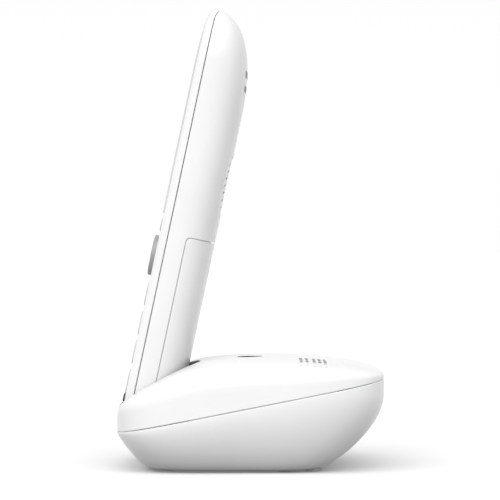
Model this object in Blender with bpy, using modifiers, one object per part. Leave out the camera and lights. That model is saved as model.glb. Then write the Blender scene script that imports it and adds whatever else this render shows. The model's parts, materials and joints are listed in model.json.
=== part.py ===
"""A cordless phone standing in its charging base.

Metres, +Z up. The origin is on the desk under the middle of the base. The phone's front faces -Y.
The handset's pieces are made in the handset's own frame: X across, Y from the front to the back with 0
where it is widest, Z along its length with 0 at its bottom end. An empty leans that frame back and sets
it in the cradle.
"""

from math import asin, cos, exp, log, pi, radians, sin

import bmesh
import bpy
from mathutils import Matrix, Vector

MM = 0.001
GAP = 0.3 * MM
HALF_SEAM = 0.15 * MM

# Handset
LEAN = radians(12)
HANDSET_SEAT = Vector((0, -48.25, 20.5)) * MM
LENGTH = 165 * MM
HALF_WIDTH = 24 * MM
BODY_DEPTH = 19.1 * MM
FACE_DEPTH = 3.05 * MM
COVER_SEAM = 0.85 * MM
CHAMFER_DEPTH = 1.5 * MM
CHAMFER_WIDTH = 1.6 * MM
WALL = 1.5 * MM
BAY_INSET = 3 * MM
SIDE_POWER = 3.0
BACK_CURVE_START = 125 * MM
BACK_CURVE_POWER = 2.3
TOP_ROUND = 22 * MM
TOP_ROUND_POWER = 2.6
BOTTOM_ROUND = 9 * MM
BOTTOM_ROUND_POWER = 3.2
BOTTOM_EDGE = 6 * MM
TOP_EDGE = 10 * MM

# Battery door and the bay under it
DOOR_TOP = 73.75 * MM
DOOR_EDGE = 8.2 * MM
DOOR_THICKNESS = 1.3 * MM
BAY = ((-11.4, 4.4, 18.5), (11.4, 20, 67.1))
BAY_WALL = 1.2 * MM
CELL_RADIUS = 5.25 * MM
CELL_LENGTH = 44.5 * MM
CELL_X = 5.7 * MM
CELL_DEPTH = 10 * MM
CELL_FOOT = 20.6 * MM

# Front of the handset
LENS_FOOT = 81.2 * MM
LENS_THICKNESS = 0.6 * MM
LENS_BACK = 0.5 * MM
LENS_ROOM_DEPTH = 0.9 * MM
KEY_FACE = 2.45 * MM
KEY_RISE = 0.65 * MM
CALL_KEY_RISE = 0.25 * MM
KEY_LENGTH = 9.6 * MM
KEY_WIDTH = 12.4 * MM
COLUMN_PITCH = 14.4 * MM
ROW_PITCH = 11.65 * MM
FIRST_ROW = 13.9 * MM
KEY_CORNER = 2.6 * MM
NAV_CENTRE = 64.1 * MM
NAV_RADIUS = 8.2 * MM
NAV_RISE = 1.85 * MM
NAV_AXIS_DEPTH = -2.0 * MM
SCREW_X = 18 * MM
SCREW_HEIGHT = 70.2 * MM
SPEAKER_HEIGHT = 96.8 * MM
GRILLE_HALF_WIDTH = 15.2 * MM
GRILLE_HALF_LENGTH = 13.2 * MM

# Base
BASE_HALF_LENGTH = 52.5 * MM
BASE_HALF_WIDTH = 49 * MM
PLAN_POWER = 4.6
PARTING_FRONT = 15.2 * MM
PARTING_SLOPE = 0.197
BASE_WALL = 1.8 * MM
SIDE_BOWL_POWER = 1.65
SIDE_UPRIGHT = 1.0
BOTTOM_HEIGHT = 1.2 * MM
BOTTOM_CENTRE = -6.2 * MM
BOTTOM_HALF_LENGTH = 35 * MM
BOTTOM_HALF_WIDTH = 36 * MM
CREST_HEIGHT = 43.6 * MM
CREST_Y = 9 * MM
CREST_FALL = 1.9
FLANK_HEIGHT = 34.35 * MM
FLANK_Y = -37.8 * MM
FLANK_SLOPE = 0.49
BOARD_HEIGHT = 32 * MM
BOARD_THICKNESS = 1.6 * MM
FOOT_RADIUS = 3 * MM
FEET = ((-20, -32), (20, -32), (-27, 24.5), (27, 24.5))
BASE_SCREW_X = 30 * MM
BASE_SCREW_Y = 14 * MM
PAGE_RADIUS = 5 * MM

# Cradle opening and pocket, in the handset's frame
OPENING_HALF_WIDTH = 25.1 * MM
OPENING_FRONT = -3.65 * MM
OPENING_BACK = 22.8 * MM
OPENING_FRONT_CORNER = 4 * MM
OPENING_MIDDLE = 2 * MM
OPENING_BACK_POWER = 2.6
SEAT_DROP = 0.6 * MM
SUMP_FRONT = 6.9 * MM
SUMP_DROP = 7.3 * MM
POCKET_WALL = 1.3 * MM
CONTACT_X = 9 * MM

PALETTE = {
    "white_plastic": ((0.88, 0.88, 0.87), 0.32, 0.0),
    "white_gloss": ((0.92, 0.92, 0.92), 0.12, 0.0),
    "grey_plastic": ((0.36, 0.36, 0.37), 0.35, 0.2),
    "dark_plastic": ((0.03, 0.03, 0.032), 0.45, 0.0),
    "rubber": ((0.45, 0.45, 0.45), 0.7, 0.0),
    "board_green": ((0.03, 0.16, 0.07), 0.5, 0.0),
    "steel": ((0.62, 0.62, 0.63), 0.3, 1.0),
    "contact_gold": ((0.8, 0.6, 0.28), 0.25, 1.0),
    "cell_wrap": ((0.1, 0.14, 0.2), 0.35, 0.0),
    "panel_glass": ((0.35, 0.4, 0.34), 0.15, 0.0),
}


# --- shared helpers ---------------------------------------------------------------------------------


def clear_scene():
    for obj in list(bpy.data.objects):
        bpy.data.objects.remove(obj, do_unlink=True)


def collection(name):
    made = bpy.data.collections.new(name)
    bpy.context.scene.collection.children.link(made)
    return made


def material(name, finish):
    colour, roughness, metallic = PALETTE[finish]
    made = bpy.data.materials.new(name)
    made.use_nodes = True
    shader = made.node_tree.nodes["Principled BSDF"]
    shader.inputs["Base Color"].default_value = (*colour, 1)
    shader.inputs["Roughness"].default_value = roughness
    shader.inputs["Metallic"].default_value = metallic
    return made


def object_from(name, mesh, parent=None):
    """Turns a bmesh into an object whose faces point out."""
    bmesh.ops.recalc_face_normals(mesh, faces=mesh.faces)
    data = bpy.data.meshes.new(name)
    mesh.to_mesh(data)
    mesh.free()
    obj = bpy.data.objects.new(name, data)
    obj.parent = parent
    return obj


def piece(obj, finish, location=None, rotation=None):
    """Makes an object one of the phone's pieces: its place, finish and shading."""
    if location is not None:
        obj.location = location
    if rotation is not None:
        obj.rotation_euler = rotation
    obj.data.materials.append(material(obj.name + "_finish", finish))
    obj.data.shade_smooth()
    obj.data.set_sharp_from_angle(angle=radians(35))
    PARTS.objects.link(obj)
    return obj


def cutter(obj):
    obj.hide_render = True
    obj.display_type = "WIRE"
    CUTTERS.objects.link(obj)
    return obj


def combine(obj, other, operation):
    modifier = obj.modifiers.new(operation.lower() + "_" + other.name, "BOOLEAN")
    modifier.operation = operation
    modifier.solver = "EXACT"
    modifier.object = other


def cut(obj, *tools):
    for tool in tools:
        combine(obj, tool, "DIFFERENCE")


def join(obj, *tools):
    for tool in tools:
        combine(obj, tool, "UNION")


def keep_inside(obj, tool):
    combine(obj, tool, "INTERSECT")


def add_loft(mesh, rings, tip=None):
    """Adds a closed skin through rings of equal count. A tip closes the last ring with a fan."""
    loops = [[mesh.verts.new(point) for point in ring] for ring in rings]
    count = len(loops[0])
    for lower, upper in zip(loops, loops[1:]):
        for i in range(count):
            j = (i + 1) % count
            mesh.faces.new((lower[i], lower[j], upper[j], upper[i]))
    mesh.faces.new(loops[0])
    if tip is None:
        mesh.faces.new(loops[-1])
        return
    centre = mesh.verts.new(tip)
    for i in range(count):
        mesh.faces.new((loops[-1][i], loops[-1][(i + 1) % count], centre))


def loft(name, rings, parent=None, tip=None):
    mesh = bmesh.new()
    add_loft(mesh, rings, tip)
    return object_from(name, mesh, parent)


def add_box(mesh, low, high):
    low, high = Vector(low), Vector(high)
    move = Matrix.Translation((low + high) / 2)
    size = Matrix.Diagonal((*(high - low), 1))
    bmesh.ops.create_cube(mesh, size=1, matrix=move @ size)


def boxes(name, corners, parent=None):
    """One object of boxes, each given by its low and high corners in millimetres."""
    mesh = bmesh.new()
    for low, high in corners:
        add_box(mesh, Vector(low) * MM, Vector(high) * MM)
    return object_from(name, mesh, parent)


def add_rod(mesh, radius, start, end, sides=20):
    start, end = Vector(start), Vector(end)
    turn = (end - start).to_track_quat("Z", "Y").to_matrix().to_4x4()
    move = Matrix.Translation((start + end) / 2)
    bmesh.ops.create_cone(
        mesh,
        cap_ends=True,
        segments=sides,
        radius1=radius,
        radius2=radius,
        depth=(end - start).length,
        matrix=move @ turn,
    )


def rods(name, radius, lines, parent=None, sides=20):
    """One object of round rods along lines given by their ends in millimetres."""
    mesh = bmesh.new()
    for start, end in lines:
        add_rod(mesh, radius, Vector(start) * MM, Vector(end) * MM, sides)
    return object_from(name, mesh, parent)


def turned(name, profile, parent=None, steps=20):
    """A solid of revolution about local Z. The profile is (radius, height) in mm, from the top down."""
    data = bpy.data.meshes.new(name)
    points = [(radius * MM, 0, height * MM) for radius, height in profile]
    data.from_pydata(points, [(i, i + 1) for i in range(len(points) - 1)], [])
    obj = bpy.data.objects.new(name, data)
    obj.parent = parent
    screw = obj.modifiers.new("turn", "SCREW")
    screw.axis = "Z"
    screw.steps = steps
    screw.render_steps = steps
    screw.use_merge_vertices = True
    screw.merge_threshold = 0.00001
    return obj


def rounded_rectangle(half_x, half_y, radius, steps=3):
    """Points of a rounded rectangle about (0, 0), anticlockwise from its lower right corner."""
    points = []
    for turn, (side_x, side_y) in enumerate(((1, -1), (1, 1), (-1, 1), (-1, -1))):
        for step in range(steps + 1):
            angle = (turn - 1 + step / steps) * pi / 2
            x = side_x * (half_x - radius) + radius * cos(angle)
            y = side_y * (half_y - radius) + radius * sin(angle)
            points.append((x, y))
    return points


def front_plate(name, centre, size, depths, radius, parent, steps=3):
    """A plate across the handset, with rounded corners. Size and centre are (x, z), depths are y."""
    rings = []
    for depth in depths:
        outline = rounded_rectangle(size[0] / 2, size[1] / 2, radius, steps)
        rings.append([(centre[0] + x, depth, centre[1] + z) for x, z in outline])
    return loft(name, rings, parent)


def superellipse(reach, power):
    """How far along one axis a superellipse quarter still is at a reach of 0 to 1 along the other."""
    return max(0.0, 1 - reach**power) ** (1 / power)


# --- handset shells ----------------------------------------------------------------------------------


def handset_outline(half_width, bottom, top, steps=7):
    """Points (x, z) of the handset's outline, anticlockwise from the middle of its bottom end."""
    right = []
    for step in range(steps + 1):
        angle = (1 - step / steps) * pi / 2
        x = half_width * cos(angle) ** (2 / BOTTOM_ROUND_POWER)
        drop = BOTTOM_ROUND * sin(angle) ** (2 / BOTTOM_ROUND_POWER)
        right.append((x, bottom + BOTTOM_ROUND - drop))
    for step in range(steps + 1):
        angle = step / steps * pi / 2
        x = half_width * cos(angle) ** (2 / TOP_ROUND_POWER)
        rise = TOP_ROUND * sin(angle) ** (2 / TOP_ROUND_POWER)
        right.append((x, top - TOP_ROUND + rise))
    right[0] = (0, bottom)
    right[-1] = (0, top)
    return right + [(-x, z) for x, z in reversed(right[1:-1])]


def back_ring(depth, inset, steps):
    """The handset's outline at a depth behind its own frame's y = 0, inset from its outer skin."""
    reach = depth / (BODY_DEPTH - inset)
    half_width = (HALF_WIDTH - inset) * superellipse(reach, SIDE_POWER)
    curve = LENGTH - BACK_CURVE_START - inset
    top = BACK_CURVE_START + curve * superellipse(reach, BACK_CURVE_POWER)
    into_edge = max(0.0, depth - (BODY_DEPTH - inset - BOTTOM_EDGE)) / BOTTOM_EDGE
    bottom = inset + BOTTOM_EDGE * (1 - superellipse(min(into_edge, 1), 2))
    return [(x, depth, z) for x, z in handset_outline(half_width, bottom, top, steps)]


def front_ring(depth, inset, steps):
    """The same in front of y = 0, where depth grows to FACE_DEPTH at the face."""
    into_chamfer = max(0.0, depth - CHAMFER_DEPTH) / (FACE_DEPTH - CHAMFER_DEPTH)
    half_width = HALF_WIDTH - inset - CHAMFER_WIDTH * into_chamfer
    turn = superellipse(min(max(depth, 0.0) / FACE_DEPTH, 1), 2)
    bottom = inset + BOTTOM_EDGE * (1 - turn)
    top = LENGTH - inset - TOP_EDGE * (1 - turn)
    return [(x, -depth, z) for x, z in handset_outline(half_width, bottom, top, steps)]


def back_body(name, inset, from_depth, steps=7, levels=9):
    """The space inside the handset's skin from a depth behind y = 0 to the back."""
    rings = []
    deepest = BODY_DEPTH - inset
    start = asin(max(0.0, from_depth / deepest) ** (SIDE_POWER / 2))
    end = radians(84.5)
    for level in range(levels + 1):
        angle = start + (end - start) * level / levels
        depth = deepest * sin(angle) ** (2 / SIDE_POWER)
        rings.append(back_ring(depth, inset, steps))
    return loft(name, rings, HANDSET)


def make_front_cover():
    depths = (HALF_SEAM - COVER_SEAM, 0, 0.5 * MM, 1 * MM, CHAMFER_DEPTH, 2 * MM, 2.4 * MM, 2.8 * MM)
    rings = [front_ring(depth, 0, 7) for depth in (*depths, FACE_DEPTH)]
    cover = loft("handset_front_cover", rings, HANDSET)
    hollow = [front_ring(depth, WALL, 5) for depth in (0, 0.9 * MM)]
    hollow.insert(0, [(x, 2 * MM, z) for x, _, z in hollow[0]])
    hollow = loft("front_hollow", hollow, HANDSET)
    cut(hollow, cutter(boxes("front_brow", [((-30, -10, 160.5), (30, -0.05, 175))], HANDSET)))
    cut(cover, cutter(hollow))
    key_room = boxes("front_key_room", [((-21.4, -1.75, 5.5), (21.4, 2, 80.2))], HANDSET)
    cut(cover, cutter(key_room))
    lens_room = lens_layer("front_lens_room", LENS_ROOM_DEPTH, LENS_FOOT - GAP, LENS_BACK - GAP)
    cut(cover, cutter(lens_room))
    low_face = boxes("key_face_room", [((-30, -10, -5), (30, -KEY_FACE / MM, LENS_FOOT / MM))], HANDSET)
    cut(cover, cutter(low_face))
    join(cover, cutter(screw_columns("front_boss", 2.7, -1.9, 2.8)))
    cut(cover, cutter(screw_columns("front_pilot", 1.35, -0.9, 4)))
    cut(cover, cutter(make_front_holes()))
    return piece(cover, "white_plastic")


def screw_columns(name, radius, start, end):
    """Two rods at the handset's screws, from one depth to another in millimetres."""
    height = SCREW_HEIGHT / MM
    side = SCREW_X / MM
    lines = [((x, start, height), (x, end, height)) for x in (-side, side)]
    return rods(name, radius * MM, lines, HANDSET, sides=16)


def make_front_holes():
    """Every hole through the front cover: the keys, nav pad, display, earpiece and microphone."""
    mesh = bmesh.new()
    for _, x, z, width, height in key_places():
        outline = rounded_rectangle(width / 2 + GAP, height / 2 + GAP, KEY_CORNER + GAP, 2)
        add_loft(mesh, [[(x + a, depth, z + b) for a, b in outline] for depth in (-5 * MM, 0.5 * MM)])
    add_rod(mesh, NAV_RADIUS + 0.4 * MM, (0, -6 * MM, NAV_CENTRE), (0, 0.5 * MM, NAV_CENTRE), 20)
    add_box(mesh, Vector((-18, -5, 96)) * MM, Vector((18, 0.5, 130)) * MM)
    add_box(mesh, Vector((-6, -5, 150.7)) * MM, Vector((6, 0.5, 152.3)) * MM)
    add_rod(mesh, 0.7 * MM, (0, -6 * MM, 6.4 * MM), (0, 0.5 * MM, 6.4 * MM), 10)
    return object_from("front_holes", mesh, HANDSET)


def make_back_cover():
    cover = back_body("handset_back_cover", 0, COVER_SEAM + HALF_SEAM)
    door_room = boxes(
        "door_room",
        [((-40, DOOR_EDGE / MM - 0.15, -20), (40, 40, DOOR_TOP / MM + 0.3))],
        HANDSET,
    )
    cut(door_room, cutter(back_body("under_door_skin", DOOR_THICKNESS + GAP, 0, 5, 7)))
    cut(cover, cutter(door_room))
    cut(cover, cutter(open_hollow("back_hollow_low", BAY_INSET)))
    high_hollow = open_hollow("back_hollow_high", WALL)
    cut(high_hollow, cutter(boxes("below_high_hollow", [((-40, -20, -20), (40, 40, 75.5))], HANDSET)))
    cut(cover, cutter(high_hollow))
    wall = Vector((BAY_WALL, BAY_WALL, BAY_WALL)) / MM
    low = Vector(BAY[0]) - wall
    high = Vector((BAY[1][0], 15.2, BAY[1][2])) + Vector((wall.x, 0, wall.z))
    join(cover, cutter(boxes("bay_walls", [(low, high)], HANDSET)))
    cut(cover, cutter(boxes("bay_room", [BAY], HANDSET)))
    join(cover, cutter(screw_columns("back_column", 3, 3.2, 9.4)))
    cut(cover, cutter(screw_columns("back_head_room", 2.3, 9.1, 20)))
    cut(cover, cutter(screw_columns("back_shank_room", 1.35, 0, 12)))
    cut(cover, cutter(grille_prism("grille_opening", GAP)))
    pads = [((x - 2.8, 1.9, -1), (x + 2.8, 6.0, 2.3)) for x in (-CONTACT_X / MM, CONTACT_X / MM)]
    cut(cover, cutter(boxes("contact_rooms", pads, HANDSET)))
    return piece(cover, "white_plastic")


def open_hollow(name, inset):
    """An inner space that also runs a little in front of y = 0, so that it cuts an open shell."""
    rings = [back_ring(0.0, inset, 5)]
    rings[0] = [(x, -1 * MM, z) for x, _, z in rings[0]]
    deepest = BODY_DEPTH - inset
    for level in range(8):
        angle = radians(84.5) * level / 7
        rings.append(back_ring(deepest * sin(angle) ** (2 / SIDE_POWER), inset, 5))
    return loft(name, rings, HANDSET)


def grille_prism(name, margin):
    """An oval rod through the back cover at the loudspeaker."""
    obj = rods(name, 1 * MM, [((0, 9, 0), (0, 25, 0))], HANDSET, sides=32)
    half_width = (GRILLE_HALF_WIDTH + margin) / MM
    half_length = (GRILLE_HALF_LENGTH + margin) / MM
    obj.data.transform(Matrix.Diagonal((half_width, 1, half_length, 1)))
    obj.data.transform(Matrix.Translation((0, 0, SPEAKER_HEIGHT)))
    return obj


def make_speaker_grille():
    grille = back_body("speaker_grille", 0.5 * MM, 9 * MM, 7, 6)
    cut(grille, cutter(back_body("under_grille", 1.6 * MM, 0, 5, 6)))
    keep_inside(grille, cutter(grille_prism("grille_outline", 0)))
    slots = [((-8, 10, z - 0.6), (8, 25, z + 0.6)) for z in (90, 93.4, 96.8, 100.2, 103.6)]
    cut(grille, cutter(boxes("grille_slots", slots, HANDSET)))
    return piece(grille, "white_plastic")


def make_battery_door():
    door = back_body("battery_door", 0, DOOR_EDGE + HALF_SEAM)
    cut(door, cutter(back_body("under_door", DOOR_THICKNESS, 0, 5, 8)))
    above = boxes("above_door", [((-40, -5, DOOR_TOP / MM), (40, 40, 200))], HANDSET)
    cut(door, cutter(above))
    return piece(door, "white_plastic")


def lens_layer(name, depth, foot, back):
    """The space less than a depth under the front and the curve at its top, above a foot."""
    profile = [(-10 * MM, foot), (depth - FACE_DEPTH, foot)]
    for step in range(13):
        angle = radians(90 - 7.5 * step)
        y = -(FACE_DEPTH - depth) * sin(angle)
        z = LENGTH - TOP_EDGE + (TOP_EDGE - depth) * cos(angle)
        if y < -back:
            profile.append((y, z))
    profile += [(-back, LENGTH - depth), (-back, 175 * MM), (-10 * MM, 175 * MM)]
    return loft(name, [[(x, y, z) for y, z in profile] for x in (-30 * MM, 30 * MM)], HANDSET)


def make_front_lens():
    depths = (0.1, 0.5, 0.9, 1.3, 1.7, 2.1, 2.45, 2.8)
    rings = [front_ring(depth * MM, 0, 7) for depth in depths] + [front_ring(FACE_DEPTH, 0, 7)]
    lens = loft("front_lens", rings, HANDSET)
    keep_inside(lens, cutter(lens_layer("lens_layer", LENS_THICKNESS, LENS_FOOT, LENS_BACK)))
    slot = boxes("lens_slot", [((-6, -10, 150.7), (6, 10, 152.3))], HANDSET)
    cut(lens, cutter(slot))
    return piece(lens, "white_gloss")


# --- keys ----------------------------------------------------------------------------------------------


def key_places():
    """(name, x, height up the handset, width, length) of each key that presses straight in."""
    names = (
        ("key_star", "key_0", "key_hash"),
        ("key_7", "key_8", "key_9"),
        ("key_4", "key_5", "key_6"),
        ("key_1", "key_2", "key_3"),
    )
    places = []
    for row, row_names in enumerate(names):
        for column, name in enumerate(row_names):
            x = (column - 1) * COLUMN_PITCH
            places.append((name, x, FIRST_ROW + row * ROW_PITCH, KEY_WIDTH, KEY_LENGTH))
    for name, side in (("talk_key", -1), ("end_key", 1)):
        places.append((name, side * 15.3 * MM, 61.6 * MM, 10.4 * MM, 8.6 * MM))
    for name, side in (("soft_key_left", -1), ("soft_key_right", 1)):
        places.append((name, side * 13.2 * MM, 76.6 * MM, 13.6 * MM, 5.2 * MM))
    return places


def make_key(name, x, z, width, length):
    """A key cap with a flange behind the cover. Its origin is on the face round the keys."""
    flange = 0.55 * MM
    wide, narrow = (width / 2 + flange, length / 2 + flange), (width / 2, length / 2)
    rim = 0.45 * MM
    rise = CALL_KEY_RISE if name in ("talk_key", "end_key") else KEY_RISE
    levels = (
        (-rise, narrow[0] - rim, narrow[1] - rim, KEY_CORNER - rim),
        (-rise + 0.3 * MM, *narrow, KEY_CORNER),
        (1 * MM, *narrow, KEY_CORNER),
        (1 * MM, *wide, KEY_CORNER + flange),
        (1.7 * MM, *wide, KEY_CORNER + flange),
    )
    rings = []
    for depth, half_x, half_z, corner in levels:
        outline = rounded_rectangle(half_x, half_z, min(corner, half_z * 0.9), 2)
        rings.append([(a, depth, b) for a, b in outline])
    key = loft(name, rings, HANDSET)
    return piece(key, "white_plastic", (x, -KEY_FACE, z))


def make_nav_pad():
    """A dished ring pad that rocks about an axis across the handset, through its origin."""
    radius = NAV_RADIUS / MM
    top = (NAV_RISE + FACE_DEPTH + NAV_AXIS_DEPTH) / MM
    profile = (
        (0, top - 0.6),
        (3.4, top - 0.6),
        (4.1, top - 0.25),
        (6.6, top),
        (radius - 0.3, top - 0.15),
        (radius, top - 0.5),
        (radius, -0.8),
        (radius + 0.9, -0.8),
        (radius + 0.9, -1.4),
        (0, -1.4),
    )
    pad = turned("nav_pad", profile, HANDSET, steps=20)
    return piece(pad, "grey_plastic", (0, NAV_AXIS_DEPTH, NAV_CENTRE), (pi / 2, 0, 0))


# --- inside the handset ----------------------------------------------------------------------------------


def make_handset_board():
    board = boxes("handset_circuit_board", [((-20, 1.45, 8.6), (20, 2.65, 143))], HANDSET)
    join(board, cutter(boxes("microphone_tongue", [((-9, 1.45, 4.2), (9, 2.65, 9))], HANDSET)))
    cut(board, cutter(screw_columns("board_clearance", 3.1, -5, 8)))
    return piece(board, "board_green")


def make_key_mat():
    mat = boxes("key_mat", [((-19.9, 0.35, 8.6), (19.9, 1.15, 80))], HANDSET)
    cut(mat, cutter(screw_columns("mat_clearance", 3.1, -5, 8)))
    return piece(mat, "rubber")


def make_display():
    panel = boxes("lcd_panel", [((-19, -0.6, 94.5), (19, 0.5, 131.5))], HANDSET)
    piece(panel, "panel_glass")
    backlight = boxes("lcd_backlight", [((-19.5, 0.8, 94), (19.5, 1.15, 132))], HANDSET)
    piece(backlight, "white_plastic")


def make_audio():
    """Earpiece and microphone face the front, the loudspeaker faces the back."""
    to_front, to_back = (pi / 2, 0, 0), (-pi / 2, 0, 0)
    receiver = ((0, 1.6), (4.5, 1.6), (5, 1.1), (6.5, 1.1), (6.5, -1.6), (0, -1.6))
    earpiece = turned("earpiece_receiver", receiver, HANDSET)
    piece(earpiece, "dark_plastic", (0, 1.1 * MM, 151.5 * MM), to_front)
    capsule = turned("microphone", ((0, 0.8), (2, 0.8), (2, -0.8), (0, -0.8)), HANDSET, 14)
    piece(capsule, "steel", (0, 0.35 * MM, 6.4 * MM), to_front)
    cone = (
        (0, 0.4),
        (4, 0.4),
        (8.6, 1.3),
        (10.6, 1.3),
        (10.6, 0),
        (8.5, -1.6),
        (6.5, -1.6),
        (6.5, -4.4),
        (0, -4.4),
    )
    speaker = turned("loudspeaker", cone, HANDSET, 24)
    piece(speaker, "dark_plastic", (0, 14 * MM, SPEAKER_HEIGHT), to_back)


def make_cells():
    radius, length = CELL_RADIUS / MM, CELL_LENGTH / MM
    profile = (
        (0, length + 0.8),
        (1.9, length + 0.8),
        (1.9, length),
        (radius - 0.5, length),
        (radius, length - 0.6),
        (radius, 0.4),
        (radius - 0.4, 0),
        (0, 0),
    )
    cell = turned("aaa_cell_left", profile, HANDSET, 18)
    piece(cell, "cell_wrap", (-CELL_X, CELL_DEPTH, CELL_FOOT))
    cell = turned("aaa_cell_right", profile, HANDSET, 18)
    top = CELL_FOOT + CELL_LENGTH + 0.8 * MM
    piece(cell, "cell_wrap", (CELL_X, CELL_DEPTH, top), (0, pi, 0))


def make_cell_contacts():
    link = [((-10.6, 6, 18.8), (10.6, 14, 19.3))]
    plate = boxes("battery_link_plate", link, HANDSET)
    depth = CELL_DEPTH / MM
    bumps = [((x, depth, 19.1), (x, depth, 20.3)) for x in (-CELL_X / MM, CELL_X / MM)]
    join(plate, cutter(rods("link_bumps", 1.6 * MM, bumps, HANDSET, 12)))
    piece(plate, "steel")
    for side, sign in (("left", -1), ("right", 1)):
        x = sign * CELL_X / MM
        low, high = (x - 4.6, 6, 66.3), (x + 4.6, 14, 66.8)
        piece(boxes("battery_contact_" + side, [(low, high)], HANDSET), "steel")


def make_handset_details():
    shield = boxes("handset_radio_shield", [((-9, 2.95, 118), (9, 5.2, 140))], HANDSET)
    cut(shield, cutter(boxes("shield_room", [((-8.6, 2, 118.4), (8.6, 4.8, 139.6))], HANDSET)))
    piece(shield, "steel")
    antenna = front_plate(
        "handset_antenna", (0, 159.5 * MM), (15 * MM, 1.2 * MM), (3 * MM, 7 * MM), 0.5 * MM, HANDSET, 2
    )
    piece(antenna, "contact_gold")
    for side, sign in (("left", -1), ("right", 1)):
        x = sign * CONTACT_X / MM
        pad = boxes("handset_charge_pad_" + side, [((x - 2.5, 2.2, 0.1), (x + 2.5, 5.7, 2))], HANDSET)
        piece(pad, "steel")
        profile = ((0, 1.4), (1.9, 1.1), (1.9, 0), (1, 0), (1, -9.9), (0, -10.2))
        screw = turned("handset_screw_" + side, profile, HANDSET, 14)
        piece(screw, "steel", (sign * SCREW_X, 9.4 * MM, SCREW_HEIGHT), (-pi / 2, 0, 0))


# --- base shells ------------------------------------------------------------------------------------------


def parting_height(y):
    return PARTING_FRONT + PARTING_SLOPE * (y + BASE_HALF_LENGTH)


def crest_height(y):
    """The dome's top line: a straight flank at the front that runs smoothly into a shallow arch."""
    flank = FLANK_HEIGHT + FLANK_SLOPE * (y - FLANK_Y)
    arch = CREST_HEIGHT - CREST_FALL * (y - CREST_Y) ** 2
    blend = 0.9 * MM
    return -blend * log(exp(-flank / blend) + exp(-arch / blend))


def plan_point(angle, half_width, half_length):
    """A point of the base's rounded plan in the direction of an angle."""
    across = abs(cos(angle) / half_width) ** PLAN_POWER
    along = abs(sin(angle) / half_length) ** PLAN_POWER
    radius = (across + along) ** (-1 / PLAN_POWER)
    return radius * cos(angle), radius * sin(angle)


def dome(name, inset, lift, reaches, count, skirt=None):
    """The solid under the upper shell's skin, above the parting plane raised by lift.

    A skirt continues it straight down to that height.
    """
    rings = []
    angles = [2 * pi * i / count for i in range(count)]
    outline = [plan_point(angle, BASE_HALF_WIDTH - inset, BASE_HALF_LENGTH - inset) for angle in angles]
    if skirt is not None:
        rings.append([(x, y, skirt) for x, y in outline])
    for reach in reaches:
        ring = []
        for x, y in outline:
            x, y = x * reach, y * reach
            power = 6.2 - 1.7 * y / BASE_HALF_LENGTH
            foot = parting_height(y) + lift
            rise = (crest_height(y) - inset - foot) * superellipse(reach, power)
            ring.append((x, y, foot + rise))
        rings.append(ring)
    return loft(name, rings, tip=(0, 0, crest_height(0) - inset))


def bowl(name, inset, top_lift, count, steps, floor):
    """The solid inside the lower shell's skin, from its floor to the parting plane raised by top_lift."""
    rings = []
    angles = [2 * pi * i / count for i in range(count)]
    for step in range(steps + 2):
        share = min(step / steps, 1)
        ring = []
        for angle in angles:
            top_x, top_y = plan_point(angle, BASE_HALF_WIDTH - inset, BASE_HALF_LENGTH - inset)
            low_x, low_y = plan_point(angle, BOTTOM_HALF_WIDTH - inset, BOTTOM_HALF_LENGTH - inset)
            low_y += BOTTOM_CENTRE
            toward_back = top_y / BASE_HALF_LENGTH
            toward_side = (abs(top_x) / BASE_HALF_WIDTH) ** 4
            out_power = 1.11 * (1 - toward_side) + SIDE_BOWL_POWER * toward_side
            up_power = (1.46 + 0.34 * toward_back) * (1 - toward_side) + SIDE_BOWL_POWER * toward_side
            upright = (3.5 + 3 * toward_back) * (1 - toward_side) + SIDE_UPRIGHT * toward_side
            upright *= MM
            out = sin(share * pi / 2) ** (2 / out_power)
            up = 1 - max(0.0, cos(share * pi / 2)) ** (2 / up_power)
            x = low_x + (top_x - low_x) * out
            y = low_y + (top_y - low_y) * out
            z = floor + (parting_height(top_y) - upright - floor) * up
            if step > steps:
                z = parting_height(top_y) + top_lift
            ring.append((x, y, z))
        rings.append(ring)
    return loft(name, rings)


OUTER_REACHES = (1, 0.997, 0.985, 0.96, 0.92, 0.86, 0.77, 0.64, 0.46, 0.24)
INNER_REACHES = (1, 0.985, 0.95, 0.88, 0.72, 0.45)


def make_upper_shell():
    shell = dome("base_upper_shell", 0, HALF_SEAM, OUTER_REACHES, 44)
    cut(shell, cutter(dome("upper_hollow", BASE_WALL, -3 * MM, INNER_REACHES, 28)))
    cut(shell, cutter(opening_prism("cradle_opening", 0, -SEAT_DROP, 90 * MM)))
    side, front = BASE_SCREW_X / MM, BASE_SCREW_Y / MM
    bosses = [((x, front, 8), (x, front, 42.5)) for x in (-side, side)]
    join(shell, cutter(rods("upper_bosses", 3.2 * MM, bosses, sides=16)))
    pilots = [((x, front, 5), (x, front, 18)) for x in (-side, side)]
    cut(shell, cutter(rods("upper_pilots", 1.75 * MM, pilots, sides=12)))
    cut(shell, cutter(rods("page_opening", PAGE_RADIUS + GAP, [((0, 0, 39), (0, 0, 50))], sides=22)))
    return piece(shell, "white_plastic")


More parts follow.
